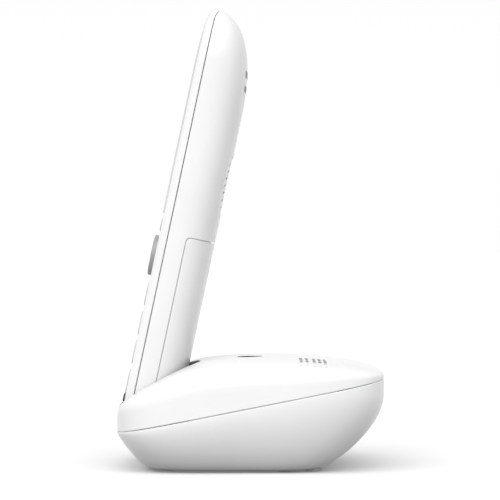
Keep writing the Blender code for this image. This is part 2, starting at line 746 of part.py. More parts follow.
def make_lower_shell():
    shell = bowl("base_lower_shell", 0, -HALF_SEAM, 44, 8, BOTTOM_HEIGHT)
    cut(shell, cutter(bowl("lower_hollow", BASE_WALL, 3 * MM, 28, 6, BOTTOM_HEIGHT + 2 * MM)))
    side, front = BASE_SCREW_X / MM, BASE_SCREW_Y / MM
    columns = [((x, front, 2.2), (x, front, 7.4)) for x in (-side, side)]
    join(shell, cutter(rods("lower_columns", 4.4 * MM, columns, sides=14)))
    posts = [((x, y, 2.2), (x, y, BOARD_HEIGHT / MM - 0.3)) for x in (-20, 20) for y in (-6, 30)]
    join(shell, cutter(rods("board_posts", 2.4 * MM, posts, sides=10)))
    heads = [((x, front, 0), (x, front, 4.4)) for x in (-side, side)]
    cut(shell, cutter(rods("screw_head_rooms", 3.3 * MM, heads, sides=14)))
    shanks = [((x, front, 0), (x, front, 10)) for x in (-side, side)]
    cut(shell, cutter(rods("screw_shank_rooms", 1.75 * MM, shanks, sides=12)))
    feet = [((x, y, 0), (x, y, 2.0)) for x, y in FEET]
    cut(shell, cutter(rods("foot_rooms", FOOT_RADIUS + GAP, feet, sides=16)))
    sockets = [((-20.4, 34.3, 20.1), (-6.7, 60, 32)), ((8.2, 34.3, 20.4), (17.8, 60, 32))]
    cut(shell, cutter(boxes("socket_openings", sockets)))
    return piece(shell, "white_plastic")


# --- cradle -----------------------------------------------------------------------------------------------


def opening_outline(margin):
    """Points (x, y) of the cradle opening across the handset's frame, grown by a margin."""
    half, corner = OPENING_HALF_WIDTH + margin, OPENING_FRONT_CORNER
    right = []
    for step in range(5):
        angle = (step / 4 - 1) * pi / 2
        x = half - corner + corner * cos(angle)
        right.append((x, OPENING_FRONT - margin + corner + corner * sin(angle)))
    for step in range(9):
        angle = step / 8 * pi / 2
        x = half * abs(cos(angle)) ** (2 / OPENING_BACK_POWER)
        rise = (OPENING_BACK + margin - OPENING_MIDDLE) * sin(angle) ** (2 / OPENING_BACK_POWER)
        right.append((x, OPENING_MIDDLE + rise))
    right[-1] = (0, OPENING_BACK + margin)
    return right + [(-x, y) for x, y in reversed(right[:-1])]


def opening_prism(name, margin, low, high):
    outline = opening_outline(margin)
    return loft(name, [[(x, y, z) for x, y in outline] for z in (low, high)], HANDSET)


def make_cradle_pocket():
    """A tray open at the front, where the upper shell's nose closes it, with a sump for the door."""
    pocket = opening_prism("cradle_pocket", POCKET_WALL, -SUMP_DROP - POCKET_WALL, 45 * MM)
    seat_room = opening_prism("seat_room", 0, -SEAT_DROP, 60 * MM)
    cut(pocket, cutter(seat_room))
    front_room = boxes("front_room", [((-40, -20, -SEAT_DROP / MM), (40, -1.5, 60))], HANDSET)
    cut(pocket, cutter(front_room))
    sump = opening_prism("sump_room", -0.5 * MM, -SUMP_DROP, 10 * MM)
    cut(sump, cutter(boxes("before_sump", [((-40, -20, -20), (40, SUMP_FRONT / MM, 20))], HANDSET)))
    cut(pocket, cutter(sump))
    seat_bottom = -SEAT_DROP / MM - POCKET_WALL / MM
    below = boxes(
        "below_seat",
        [((-40, -20, -20), (40, (SUMP_FRONT - POCKET_WALL) / MM, seat_bottom))],
        HANDSET,
    )
    cut(pocket, cutter(below))
    margin = BASE_WALL + 3 * GAP
    keep_inside(pocket, cutter(dome("pocket_limit", margin, -3 * MM, INNER_REACHES, 28, skirt=0)))
    holes = [((x - 2, 2.5, -8), (x + 2, 5.5, 2)) for x in (-CONTACT_X / MM, CONTACT_X / MM)]
    cut(pocket, cutter(boxes("contact_holes", holes, HANDSET)))
    return piece(pocket, "dark_plastic")


def make_base_contacts():
    """Two sprung plungers under the handset's charging pads."""
    for side, sign in (("left", -1), ("right", 1)):
        x = sign * CONTACT_X / MM
        low, high = (x - 1.6, 2.85, -5.5), (x + 1.6, 5.15, -0.25)
        contact = boxes("base_charge_contact_" + side, [(low, high)], HANDSET)
        piece(contact, "contact_gold")


# --- inside the base --------------------------------------------------------------------------------------


def make_base_board():
    low, high = BOARD_HEIGHT / MM, (BOARD_HEIGHT + BOARD_THICKNESS) / MM
    board = boxes("base_circuit_board", [((-24.5, -12, low), (24.5, 47, high))])
    piece(board, "board_green")
    top = high + 0.3
    shield = boxes("base_radio_shield", [((6, 14, top), (22, 34, top + 2.6))])
    cut(shield, cutter(boxes("base_shield_room", [((6.5, 14.5, top - 1), (21.5, 33.5, top + 2.1))])))
    piece(shield, "steel")
    switch = boxes("page_switch", [((-3, -3, top), (3, 3, top + 2.1))])
    piece(switch, "dark_plastic")


def make_page_button():
    """A round cap in the dome with a stem down to its switch. Its origin is on the axis it moves on."""
    radius = PAGE_RADIUS / MM
    top = crest_height(0) / MM - 0.05
    profile = (
        (0, top),
        (radius - 0.5, top),
        (radius, top - 0.4),
        (radius, top - 2.6),
        (2, top - 2.8),
        (2, 37.2),
        (0, 37.2),
    )
    button = turned("page_button", profile, steps=22)
    return piece(button, "white_plastic")


def make_line_socket():
    """A modular telephone socket whose mouth faces the back."""
    socket = boxes("line_socket", [((-20.1, 35.3, 20.4), (-7, 48.9, 31.7))])
    room = [((-18.35, 37.8, 22.2), (-8.75, 52, 28.9)), ((-16.6, 37.8, 28.5), (-10.5, 52, 30.6))]
    for index, (low, high) in enumerate(room):
        cut(socket, cutter(boxes("line_room_" + str(index), [(low, high)])))
    return piece(socket, "dark_plastic")


def make_power_socket():
    """A barrel power socket with its centre pin, facing the back."""
    socket = boxes("power_socket", [((8.5, 36.3, 20.7), (17.5, 48.9, 31.7))])
    cut(socket, cutter(rods("barrel_room", 3.2 * MM, [((13, 39.3, 26.2), (13, 52, 26.2))], sides=18)))
    join(socket, cutter(rods("barrel_pin", 1 * MM, [((13, 38.3, 26.2), (13, 47.9, 26.2))], sides=10)))
    return piece(socket, "dark_plastic")


def make_feet_and_screws():
    for index, (x, y) in enumerate(FEET):
        profile = ((0, 1.7), (3, 1.7), (3, 0.3), (2.7, 0), (0, 0))
        foot = turned("rubber_foot_" + str(index + 1), profile, steps=16)
        piece(foot, "rubber", (x * MM, y * MM, 0))
    for side, sign in (("left", -1), ("right", 1)):
        profile = ((0, 16), (1.4, 15.4), (1.4, 4.1), (2.9, 4.1), (2.9, 2.6), (2.4, 2.2), (0, 2.2))
        screw = turned("base_screw_" + side, profile, steps=14)
        piece(screw, "steel", (sign * BASE_SCREW_X, BASE_SCREW_Y, 0))


def make_handset():
    make_front_cover()
    make_back_cover()
    make_front_lens()
    make_speaker_grille()
    make_battery_door()
    for place in key_places():
        make_key(*place)
    make_nav_pad()
    make_handset_board()
    make_key_mat()
    make_display()
    make_audio()
    make_cells()
    make_cell_contacts()
    make_handset_details()


def make_base():
    make_upper_shell()
    make_lower_shell()
    make_cradle_pocket()
    make_base_contacts()
    make_base_board()
    make_page_button()
    make_line_socket()
    make_power_socket()
    make_feet_and_screws()


clear_scene()
PARTS = collection("cordless_phone_with_base")
CUTTERS = collection("cutters")
HANDSET = bpy.data.objects.new("handset_frame", None)
HANDSET.location = HANDSET_SEAT
HANDSET.rotation_euler = (-LEAN, 0, 0)
PARTS.objects.link(HANDSET)
make_handset()
make_base()
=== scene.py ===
"""The looks of a cordless phone standing in its charging base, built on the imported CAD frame."""

import json
from math import asin, cos, exp, log, pi, radians, sin

import bmesh
import bpy
from mathutils import Matrix, Vector


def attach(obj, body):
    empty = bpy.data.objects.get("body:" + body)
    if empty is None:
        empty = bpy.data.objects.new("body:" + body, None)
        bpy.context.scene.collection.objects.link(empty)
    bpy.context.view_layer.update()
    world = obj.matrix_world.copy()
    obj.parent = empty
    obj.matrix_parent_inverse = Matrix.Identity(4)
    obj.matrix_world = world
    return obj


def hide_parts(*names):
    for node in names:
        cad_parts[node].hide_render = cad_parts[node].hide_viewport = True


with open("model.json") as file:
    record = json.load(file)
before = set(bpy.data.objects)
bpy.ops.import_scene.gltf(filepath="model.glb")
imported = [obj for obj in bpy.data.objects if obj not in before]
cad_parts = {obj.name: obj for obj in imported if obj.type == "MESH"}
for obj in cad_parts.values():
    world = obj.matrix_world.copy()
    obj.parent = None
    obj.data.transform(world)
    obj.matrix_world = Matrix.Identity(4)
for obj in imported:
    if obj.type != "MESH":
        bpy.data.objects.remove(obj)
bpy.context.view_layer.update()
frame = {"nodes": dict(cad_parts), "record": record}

MM = 0.001
HALF_SEAM = 0.15 * MM
EDGE = 0.22 * MM
SEAT = Matrix.Translation((0, -0.04825, 0.0205)) @ Matrix.Rotation(-radians(12), 4, "X")

# Handset, in its own frame: X across, Y back from the seam, Z up its length
LENGTH = 165 * MM
HALF_WIDTH = 24 * MM
BODY_DEPTH = 19.1 * MM
FACE_DEPTH = 3.05 * MM
COVER_SEAM = 0.85 * MM
CHAMFER_DEPTH = 1.5 * MM
CHAMFER_WIDTH = 1.6 * MM
WALL = 1.5 * MM
BAY_INSET = 3 * MM
SIDE_POWER = 3.0
TOP_ROUND = 22 * MM
TOP_POWER = 2.6
TOP_EDGE = 10 * MM
BOTTOM_ROUND = 9 * MM
BOTTOM_POWER = 3.2
BOTTOM_EDGE = 6 * MM
BACK_CURVE_START = 125 * MM
BACK_CURVE_POWER = 2.3
DOOR_TOP = 73.75 * MM
DOOR_EDGE = 8.2 * MM
DOOR_THICKNESS = 1.3 * MM
DOOR_CORNER = 1.7 * MM
LENS_FOOT = 81.2 * MM
LENS_THICKNESS = 0.68 * MM
LENS_BACK = 0.38 * MM
LENS_ROOM = 0.7 * MM
LENS_ROOM_BACK = 0.35 * MM
LENS_GAP = 0.15 * MM
WINDOW_CENTRE = (0, 113 * MM)
EAR_SLOT_CENTRE = (0, 151.5 * MM)
KEY_FACE = 2.45 * MM
KEY_GAP = 0.3 * MM
KEY_COLUMN_PITCH = 14.4 * MM
KEY_ROW_PITCH = 11.65 * MM
FIRST_ROW = 13.9 * MM
KEY_SIZE = (12.4 * MM, 9.6 * MM)
KEY_RISE = 0.65 * MM
CALL_KEYS = ("talk_key", "end_key")
CALL_KEY_X = 15.3 * MM
CALL_KEY_Z = 61.6 * MM
CALL_KEY_SIZE = (10.4 * MM, 8.6 * MM)
CALL_KEY_RISE = 0.25 * MM
SOFT_KEY_X = 13.2 * MM
SOFT_KEY_Z = 76.6 * MM
SOFT_KEY_SIZE = (13.6 * MM, 5.2 * MM)
NAV_CENTRE = 64.1 * MM
NAV_AXIS_DEPTH = -2 * MM
NAV_RISE = 1.85 * MM
NAV_HOLE_RADIUS = 8.6 * MM
MICROPHONE_HEIGHT = 6.4 * MM
CHARGE_PAD_X = 9 * MM
SPEAKER_HEIGHT = 96.8 * MM
GRILLE_HALF_WIDTH = 15.2 * MM
GRILLE_HALF_HEIGHT = 13.2 * MM
HOOK_START = 160.5 * MM
HOOK_REACH = 1.3 * MM

# Depths in front of the handset's y = 0 in mm, closer together where the face's edge turns
FRONT_LEVELS = (0.3, 0.6, 0.9, 1.2, 1.5, 1.8, 2.1, 2.4, 2.65, 2.85, 2.97, 3.05)

# Base
BASE_HALF_LENGTH = 52.5 * MM
BASE_HALF_WIDTH = 49 * MM
PLAN_POWER = 4.6
PARTING_FRONT = 15.2 * MM
PARTING_SLOPE = 0.197
BASE_WALL = 1.8 * MM
SIDE_BOWL_POWER = 1.65
SIDE_UPRIGHT = 1.0
BOTTOM_HEIGHT = 1.2 * MM
BOTTOM_CENTRE = -6.2 * MM
BOTTOM_HALF_LENGTH = 35 * MM
BOTTOM_HALF_WIDTH = 36 * MM
CREST_HEIGHT = 43.6 * MM
CREST_Y = 9 * MM
CREST_FALL = 1.9
FLANK_HEIGHT = 34.35 * MM
FLANK_Y = -37.8 * MM
FLANK_SLOPE = 0.49
PAGE_RADIUS = 5 * MM
COLUMN_X = 30 * MM
COLUMN_Y = 14 * MM
LINE_SOCKET_X = -13.55 * MM
FEET = ((-20, -32), (20, -32), (-27, 24.5), (27, 24.5))

# Studio
SKY_HORIZON = 1.0
SKY_ABOVE = 0.5
SKY_BELOW = 0.22
SUN_STRENGTH = 2.3
SUN_FROM = (1, -0.15, 0.9)
SUN_SPREAD = 70
FLOOR_TONE = 0.95
FLOOR_HALF_SIZE = 60
CAMERA_PLACE = (1.0, -0.0002, 0.086)


# --- materials ----------------------------------------------------------------------------------------


def new_material(name, colour, roughness, metallic=0.0):
    """A plain material and its shader."""
    made = bpy.data.materials.new(name)
    made.use_nodes = True
    shader = made.node_tree.nodes["Principled BSDF"]
    shader.inputs["Base Color"].default_value = (*colour, 1)
    shader.inputs["Roughness"].default_value = roughness
    shader.inputs["Metallic"].default_value = metallic
    return made, shader


def noise(tree, scale, detail=3.0, stretch=(1, 1, 1)):
    """A noise texture in object space, in lumps per metre, stretched along an axis for brushed metal."""
    place = tree.nodes.new("ShaderNodeTexCoord")
    mapping = tree.nodes.new("ShaderNodeMapping")
    mapping.inputs["Scale"].default_value = stretch
    texture = tree.nodes.new("ShaderNodeTexNoise")
    texture.inputs["Scale"].default_value = scale
    texture.inputs["Detail"].default_value = detail
    tree.links.new(place.outputs["Object"], mapping.inputs["Vector"])
    tree.links.new(mapping.outputs["Vector"], texture.inputs["Vector"])
    return texture.outputs["Fac"]


def ramp(tree, factor, low, high, start=0.35, end=0.65):
    """Turns a noise into a colour between two."""
    node = tree.nodes.new("ShaderNodeValToRGB")
    node.color_ramp.elements[0].position = start
    node.color_ramp.elements[0].color = (*low, 1)
    node.color_ramp.elements[1].position = end
    node.color_ramp.elements[1].color = (*high, 1)
    tree.links.new(factor, node.inputs["Fac"])
    return node.outputs["Color"]


def spread(tree, factor, low, high):
    """Turns a noise into a value between two."""
    node = tree.nodes.new("ShaderNodeMapRange")
    node.inputs["From Min"].default_value = 0.3
    node.inputs["From Max"].default_value = 0.7
    node.inputs["To Min"].default_value = low
    node.inputs["To Max"].default_value = high
    tree.links.new(factor, node.inputs["Value"])
    return node.outputs["Result"]


def bump(tree, shader, factor, strength, distance):
    """Raises the shading by a noise or pattern, by up to a distance in metres."""
    node = tree.nodes.new("ShaderNodeBump")
    node.inputs["Strength"].default_value = strength
    node.inputs["Distance"].default_value = distance
    tree.links.new(factor, node.inputs["Height"])
    tree.links.new(node.outputs["Normal"], shader.inputs["Normal"])


def moulded(name, colour, roughness, grain=0.05, tint=0.012, coat=0.0, metallic=0.0):
    """Moulded plastic: faint colour and gloss variation over a fine spark-eroded grain."""
    made, shader = new_material(name, colour, roughness, metallic)
    tree = made.node_tree
    cloud = noise(tree, 45, 2)
    darker = tuple(max(0, value - tint) for value in colour)
    lighter = tuple(min(1, value + tint) for value in colour)
    tree.links.new(ramp(tree, cloud, darker, lighter), shader.inputs["Base Color"])
    fine = noise(tree, 2600, 2)
    tree.links.new(spread(tree, fine, roughness - 0.03, roughness + 0.05), shader.inputs["Roughness"])
    bump(tree, shader, fine, grain, 0.00008)
    shader.inputs["Coat Weight"].default_value = coat
    shader.inputs["Coat Roughness"].default_value = 0.08
    return made


def metal(name, colour, roughness, stretch=(1, 1, 12)):
    """Plated metal with fine directional scratches."""
    made, shader = new_material(name, colour, roughness, 1.0)
    tree = made.node_tree
    streaks = noise(tree, 1400, 4, stretch)
    tree.links.new(spread(tree, streaks, roughness - 0.08, roughness + 0.12), shader.inputs["Roughness"])
    darker = tuple(value * 0.85 for value in colour)
    tree.links.new(ramp(tree, streaks, darker, colour), shader.inputs["Base Color"])
    bump(tree, shader, streaks, 0.08, 0.00005)
    return made


def circuit(name):
    """Solder mask over tracks, drawn by a stepped brick pattern."""
    made, shader = new_material(name, (0.03, 0.16, 0.07), 0.35)
    tree = made.node_tree
    place = tree.nodes.new("ShaderNodeTexCoord")
    tracks = tree.nodes.new("ShaderNodeTexBrick")
    tracks.inputs["Scale"].default_value = 260
    tracks.inputs["Mortar Size"].default_value = 0.06
    tracks.inputs["Color1"].default_value = (0.02, 0.12, 0.05, 1)
    tracks.inputs["Color2"].default_value = (0.03, 0.16, 0.07, 1)
    tracks.inputs["Mortar"].default_value = (0.08, 0.3, 0.12, 1)
    tree.links.new(place.outputs["Object"], tracks.inputs["Vector"])
    tree.links.new(tracks.outputs["Color"], shader.inputs["Base Color"])
    bump(tree, shader, tracks.outputs["Fac"], 0.2, 0.0001)
    return made


def display(name):
    """A reflective display: a faint grid of cells over a grey-green ground."""
    made, shader = new_material(name, (0.42, 0.47, 0.4), 0.3)
    tree = made.node_tree
    place = tree.nodes.new("ShaderNodeTexCoord")
    cells = tree.nodes.new("ShaderNodeTexChecker")
    cells.inputs["Scale"].default_value = 1800
    cells.inputs["Color1"].default_value = (0.40, 0.45, 0.38, 1)
    cells.inputs["Color2"].default_value = (0.45, 0.50, 0.43, 1)
    tree.links.new(place.outputs["Object"], cells.inputs["Vector"])
    tree.links.new(cells.outputs["Color"], shader.inputs["Base Color"])
    return made


def clear_pane(name):
    """A thin clear window with faint smears in its gloss."""
    made, shader = new_material(name, (0.75, 0.78, 0.76), 0.04)
    tree = made.node_tree
    shader.inputs["Alpha"].default_value = 0.16
    smears = noise(tree, 60, 4)
    tree.links.new(spread(tree, smears, 0.02, 0.09), shader.inputs["Roughness"])
    return made


WHITE_HANDSET = moulded("white_handset", (0.86, 0.86, 0.86), 0.3, grain=0.04, coat=0.25)
WHITE_BASE = moulded("white_base", (0.83, 0.83, 0.83), 0.3, grain=0.04, coat=0.2)
# Light grey, darker than the body so that the keys' sides look shaded: partly the keys' own colour, partly
# painted shade.
KEY_GREY_AND_SHADE = moulded("key_grey_and_painted_shade", (0.6, 0.6, 0.6), 0.38, grain=0.06)
LENS_EDGE = moulded("lens_plate", (0.64, 0.64, 0.65), 0.14, grain=0.01, coat=0.6)
NAV_SILVER = moulded("nav_silver", (0.36, 0.36, 0.37), 0.34, grain=0.05, coat=0.1)
DARK = moulded("dark_plastic_moulded", (0.035, 0.035, 0.037), 0.5, grain=0.1)
RUBBER = moulded("grey_rubber", (0.42, 0.42, 0.42), 0.75, grain=0.2)
# Only the ring in the grille's groove takes this grey: painted shade for the groove's shadow line.
GROOVE_SHADE_GREY = moulded("groove_shade_grey", (0.25, 0.25, 0.26), 0.4, grain=0.05)
INK = moulded("grey_ink", (0.1, 0.1, 0.11), 0.5, grain=0.0)
GREEN_INK = moulded("green_ink", (0.05, 0.35, 0.1), 0.45, grain=0.0)
RED_INK = moulded("red_ink", (0.5, 0.04, 0.04), 0.45, grain=0.0)
STEEL = metal("plated_steel", (0.62, 0.62, 0.63), 0.3)
GOLD = metal("gold_plate", (0.83, 0.62, 0.28), 0.25)
BOARD = circuit("solder_mask")
CELL = moulded("cell_sleeve", (0.1, 0.14, 0.2), 0.35, grain=0.03, tint=0.02)
LCD = display("display_ground")
PANE = clear_pane("clear_pane")
SEGMENT = moulded("display_segment", (0.05, 0.06, 0.05), 0.4, grain=0.0)

SLOT_MATERIALS = {
    "white_plastic": WHITE_HANDSET,
    "white_gloss": LENS_EDGE,
    "grey_plastic": NAV_SILVER,
    "dark_plastic": DARK,
    "rubber": RUBBER,
    "board_green": BOARD,
    "steel": STEEL,
    "contact_gold": GOLD,
    "cell_wrap": CELL,
    "panel_glass": LCD,
}


# --- mesh helpers -------------------------------------------------------------------------------------


def object_from(name, mesh):
    """Makes an object of a bmesh and frees the bmesh."""
    bmesh.ops.recalc_face_normals(mesh, faces=mesh.faces)
    data = bpy.data.meshes.new(name)
    mesh.to_mesh(data)
    mesh.free()
    obj = bpy.data.objects.new(name, data)
    bpy.context.scene.collection.objects.link(obj)
    return obj


def add_loft(mesh, rings):
    """Adds a closed skin through rings of equal count."""
    loops = [[mesh.verts.new(point) for point in ring] for ring in rings]
    count = len(loops[0])
    for lower, upper in zip(loops, loops[1:]):
        for i in range(count):
            j = (i + 1) % count
            mesh.faces.new((lower[i], lower[j], upper[j], upper[i]))
    mesh.faces.new(loops[0])
    mesh.faces.new(loops[-1])


def loft(name, rings):
    """An object that is one closed skin through rings of equal count."""
    mesh = bmesh.new()
    add_loft(mesh, rings)
    return object_from(name, mesh)


def boxes(name, corners):
    """One object of boxes, each given by its low and high corners in millimetres."""
    mesh = bmesh.new()
    for low, high in corners:
        low, high = Vector(low) * MM, Vector(high) * MM
        move = Matrix.Translation((low + high) / 2) @ Matrix.Diagonal((*(high - low), 1))
        bmesh.ops.create_cube(mesh, size=1, matrix=move)
    return object_from(name, mesh)


def add_rod(mesh, radius, start, end, sides=48):
    """Adds a round rod between two points in millimetres. The radius is in metres."""
    start, end = Vector(start) * MM, Vector(end) * MM
    turn = (end - start).to_track_quat("Z", "Y").to_matrix().to_4x4()
    bmesh.ops.create_cone(
        mesh,
        cap_ends=True,
        segments=sides,
        radius1=radius,
        radius2=radius,
        depth=(end - start).length,
        matrix=Matrix.Translation((start + end) / 2) @ turn,
    )


def rods(name, radius, lines, sides=48):
    """One object of round rods along lines given by their ends in millimetres."""
    mesh = bmesh.new()
    for start, end in lines:
        add_rod(mesh, radius, start, end, sides)
    return object_from(name, mesh)


def turned(name, profile, steps=64):
    """A solid of revolution about local Z. The profile is (radius, height) in mm, from the top down."""
    mesh = bmesh.new()
    rings = []
    for radius, height in profile:
        radius = max(radius, 0.01)
        ring = [
            (radius * MM * cos(2 * pi * i / steps), radius * MM * sin(2 * pi * i / steps), height * MM)
            for i in range(steps)
        ]
        rings.append(ring)
    add_loft(mesh, rings)
    return object_from(name, mesh)


def apply(obj):
    """Makes an object's modifiers part of its mesh."""
    graph = bpy.context.evaluated_depsgraph_get()
    data = bpy.data.meshes.new_from_object(obj.evaluated_get(graph))
    obj.modifiers.clear()
    obj.data = data


def combine(obj, tool, operation):
    """Joins, cuts or limits an object by a tool, and removes the tool."""
    modifier = obj.modifiers.new("shape", "BOOLEAN")
    modifier.operation = operation
    modifier.solver = "EXACT"
    modifier.object = tool
    apply(obj)
    bpy.data.objects.remove(tool, do_unlink=True)


def cut(obj, *tools):
    for tool in tools:
        combine(obj, tool, "DIFFERENCE")


def rounded_rectangle(half_x, half_y, radius, steps=6):
    """Points of a rounded rectangle about (0, 0)."""
    points = []
    for turn, (side_x, side_y) in enumerate(((1, -1), (1, 1), (-1, 1), (-1, -1))):
        for step in range(steps + 1):
            angle = (turn - 1 + step / steps) * pi / 2
            x = side_x * (half_x - radius) + radius * cos(angle)
            y = side_y * (half_y - radius) + radius * sin(angle)
            points.append((x, y))
    return points


def across_plate(name, centre, size, depths, radius, steps=6):
    """A rounded plate across the handset. Size and centre are (x, z) and depths are y, in metres."""
    rings = []
    for depth in depths:
        outline = rounded_rectangle(size[0] / 2, size[1] / 2, radius, steps)
        rings.append([(centre[0] + x, depth, centre[1] + z) for x, z in outline])
    return loft(name, rings)


def superellipse(reach, power):
    """The height of a unit superellipse's arc at a reach from 0 to 1."""
    return max(0.0, 1 - reach**power) ** (1 / power)


def finish(obj, body, material, nodes=(), seated=False, sharp=28):
    """Gives a piece its place, finish and shading, attaches it to the body it rides on, and hides the CAD
    nodes it stands for.
    """
    if seated:
        obj.data.transform(SEAT)
    obj.data.materials.clear()
    obj.data.materials.append(material)
    obj.data.shade_smooth()
    obj.data.set_sharp_from_angle(angle=radians(sharp))
    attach(obj, body)
    if nodes:
        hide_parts(*nodes)
    return obj


# --- handset shells -----------------------------------------------------------------------------------


def handset_outline(half_width, bottom, top, steps):
    """Points (x, z) of the handset's outline, anticlockwise from the middle of its bottom end."""
    right = []
    for step in range(steps + 1):
        angle = (1 - step / steps) * pi / 2
        x = half_width * cos(angle) ** (2 / BOTTOM_POWER)
        right.append((x, bottom + BOTTOM_ROUND * (1 - sin(angle) ** (2 / BOTTOM_POWER))))
    for step in range(steps + 1):
        angle = step / steps * pi / 2
        x = half_width * cos(angle) ** (2 / TOP_POWER)
        right.append((x, top - TOP_ROUND * (1 - sin(angle) ** (2 / TOP_POWER))))
    right[0] = (0, bottom)
    right[-1] = (0, top)
    return right + [(-x, z) for x, z in reversed(right[1:-1])]


def back_ring(depth, inset, steps, shrink=0.0):
    """The handset's outline at a depth behind y = 0, inset from its outer skin."""
    reach = min(depth / (BODY_DEPTH - inset), 1)
    half_width = (HALF_WIDTH - inset) * superellipse(reach, SIDE_POWER) - shrink
    curve = LENGTH - BACK_CURVE_START - inset
    top = BACK_CURVE_START + curve * superellipse(reach, BACK_CURVE_POWER) - shrink
    into_edge = max(0.0, depth - (BODY_DEPTH - inset - BOTTOM_EDGE)) / BOTTOM_EDGE
    bottom = inset + BOTTOM_EDGE * (1 - superellipse(min(into_edge, 1), 2)) + shrink
    return [(x, depth, z) for x, z in handset_outline(half_width, bottom, top, steps)]


def front_ring(depth, inset, steps, shrink=0.0):
    """The same in front of y = 0, where depth grows to FACE_DEPTH at the face."""
    into_chamfer = max(0.0, depth - CHAMFER_DEPTH) / (FACE_DEPTH - CHAMFER_DEPTH)
    half_width = HALF_WIDTH - inset - CHAMFER_WIDTH * into_chamfer - shrink
    turn = superellipse(min(max(depth, 0.0) / FACE_DEPTH, 1), 2)
    bottom = inset + BOTTOM_EDGE * (1 - turn) + shrink
    top = LENGTH - inset - TOP_EDGE * (1 - turn) - shrink
    return [(x, -depth, z) for x, z in handset_outline(half_width, bottom, top, steps)]


def back_body(name, inset, from_depth, steps=26, levels=26, edge=0.0):
    """The space inside the handset's skin from a depth behind y = 0 to the back."""
    rings = []
    deepest = BODY_DEPTH - inset
    last = radians(89)
    start = asin(max(0.0, from_depth / deepest) ** (SIDE_POWER / 2))
    if edge:
        rings.append(back_ring(from_depth, inset, steps, edge))
        start = asin(((from_depth + edge) / deepest) ** (SIDE_POWER / 2))
    for level in range(levels + 1):
        angle = start + (last - start) * level / levels
        rings.append(back_ring(deepest * sin(angle) ** (2 / SIDE_POWER), inset, steps))
    return loft(name, rings)


def open_hollow(name, inset, steps=16, levels=14):
    """An inner space that also runs a little in front of the seam, so that it cuts an open shell."""
    rings = [[(x, -1 * MM, z) for x, _, z in back_ring(0.0, inset, steps)]]
    deepest = BODY_DEPTH - inset
    last = radians(88)
    for level in range(levels + 1):
        angle = last * level / levels
        rings.append(back_ring(deepest * sin(angle) ** (2 / SIDE_POWER), inset, steps))
    return loft(name, rings)


def hook(obj, reach_back):
    """Bends the seam's top end back, fading to nothing over a depth."""
    for vertex in obj.data.vertices:
        along = max(0.0, vertex.co.z - HOOK_START) / (LENGTH - HOOK_START)
        fade = max(0.0, 1 - abs(vertex.co.y - COVER_SEAM) / reach_back)
        vertex.co.y += HOOK_REACH * along**1.6 * fade


def door_prism(name, margin):
    """The region of the battery door seen from the side, with its rounded upper corner."""
    edge, top, radius = DOOR_EDGE - margin, DOOR_TOP + margin, DOOR_CORNER + margin
    far, below = 40 * MM, -20 * MM
    side = [(edge, below)]
    for step in range(9):
        angle = pi - step / 8 * pi / 2
        side.append((edge + radius + radius * cos(angle), top - radius + radius * sin(angle)))
    side += [(far, top), (far, below)]
    return loft(name, [[(x, y, z) for y, z in side] for x in (-far, far)])


def grille_prism(name, margin):
    """The oval of the loudspeaker's recess, as a rod through the back."""
    obj = rods(name, 1 * MM, [((0, 9, 0), (0, 25, 0))], sides=96)
    scale = ((GRILLE_HALF_WIDTH + margin) / MM, 1, (GRILLE_HALF_HEIGHT + margin) / MM, 1)
    obj.data.transform(Matrix.Diagonal(scale))
    obj.data.transform(Matrix.Translation((0, 0, SPEAKER_HEIGHT)))
    return obj


def key_places():
    """(node, legend, x, height, width, length) of each key that presses straight in, in metres."""
    rows = (
        (("key_star", "*"), ("key_0", "0"), ("key_hash", "#")),
        (("key_7", "7"), ("key_8", "8"), ("key_9", "9")),
        (("key_4", "4"), ("key_5", "5"), ("key_6", "6")),
        (("key_1", "1"), ("key_2", "2"), ("key_3", "3")),
    )
    places = []
    for row, keys in enumerate(rows):
        for column, (node, legend) in enumerate(keys):
            x = (column - 1) * KEY_COLUMN_PITCH
            places.append((node, legend, x, FIRST_ROW + row * KEY_ROW_PITCH, *KEY_SIZE))
    for node, side in zip(CALL_KEYS, (-1, 1)):
        places.append((node, "", side * CALL_KEY_X, CALL_KEY_Z, *CALL_KEY_SIZE))
    for node, side in (("soft_key_left", -1), ("soft_key_right", 1)):
        places.append((node, "", side * SOFT_KEY_X, SOFT_KEY_Z, *SOFT_KEY_SIZE))
    return places


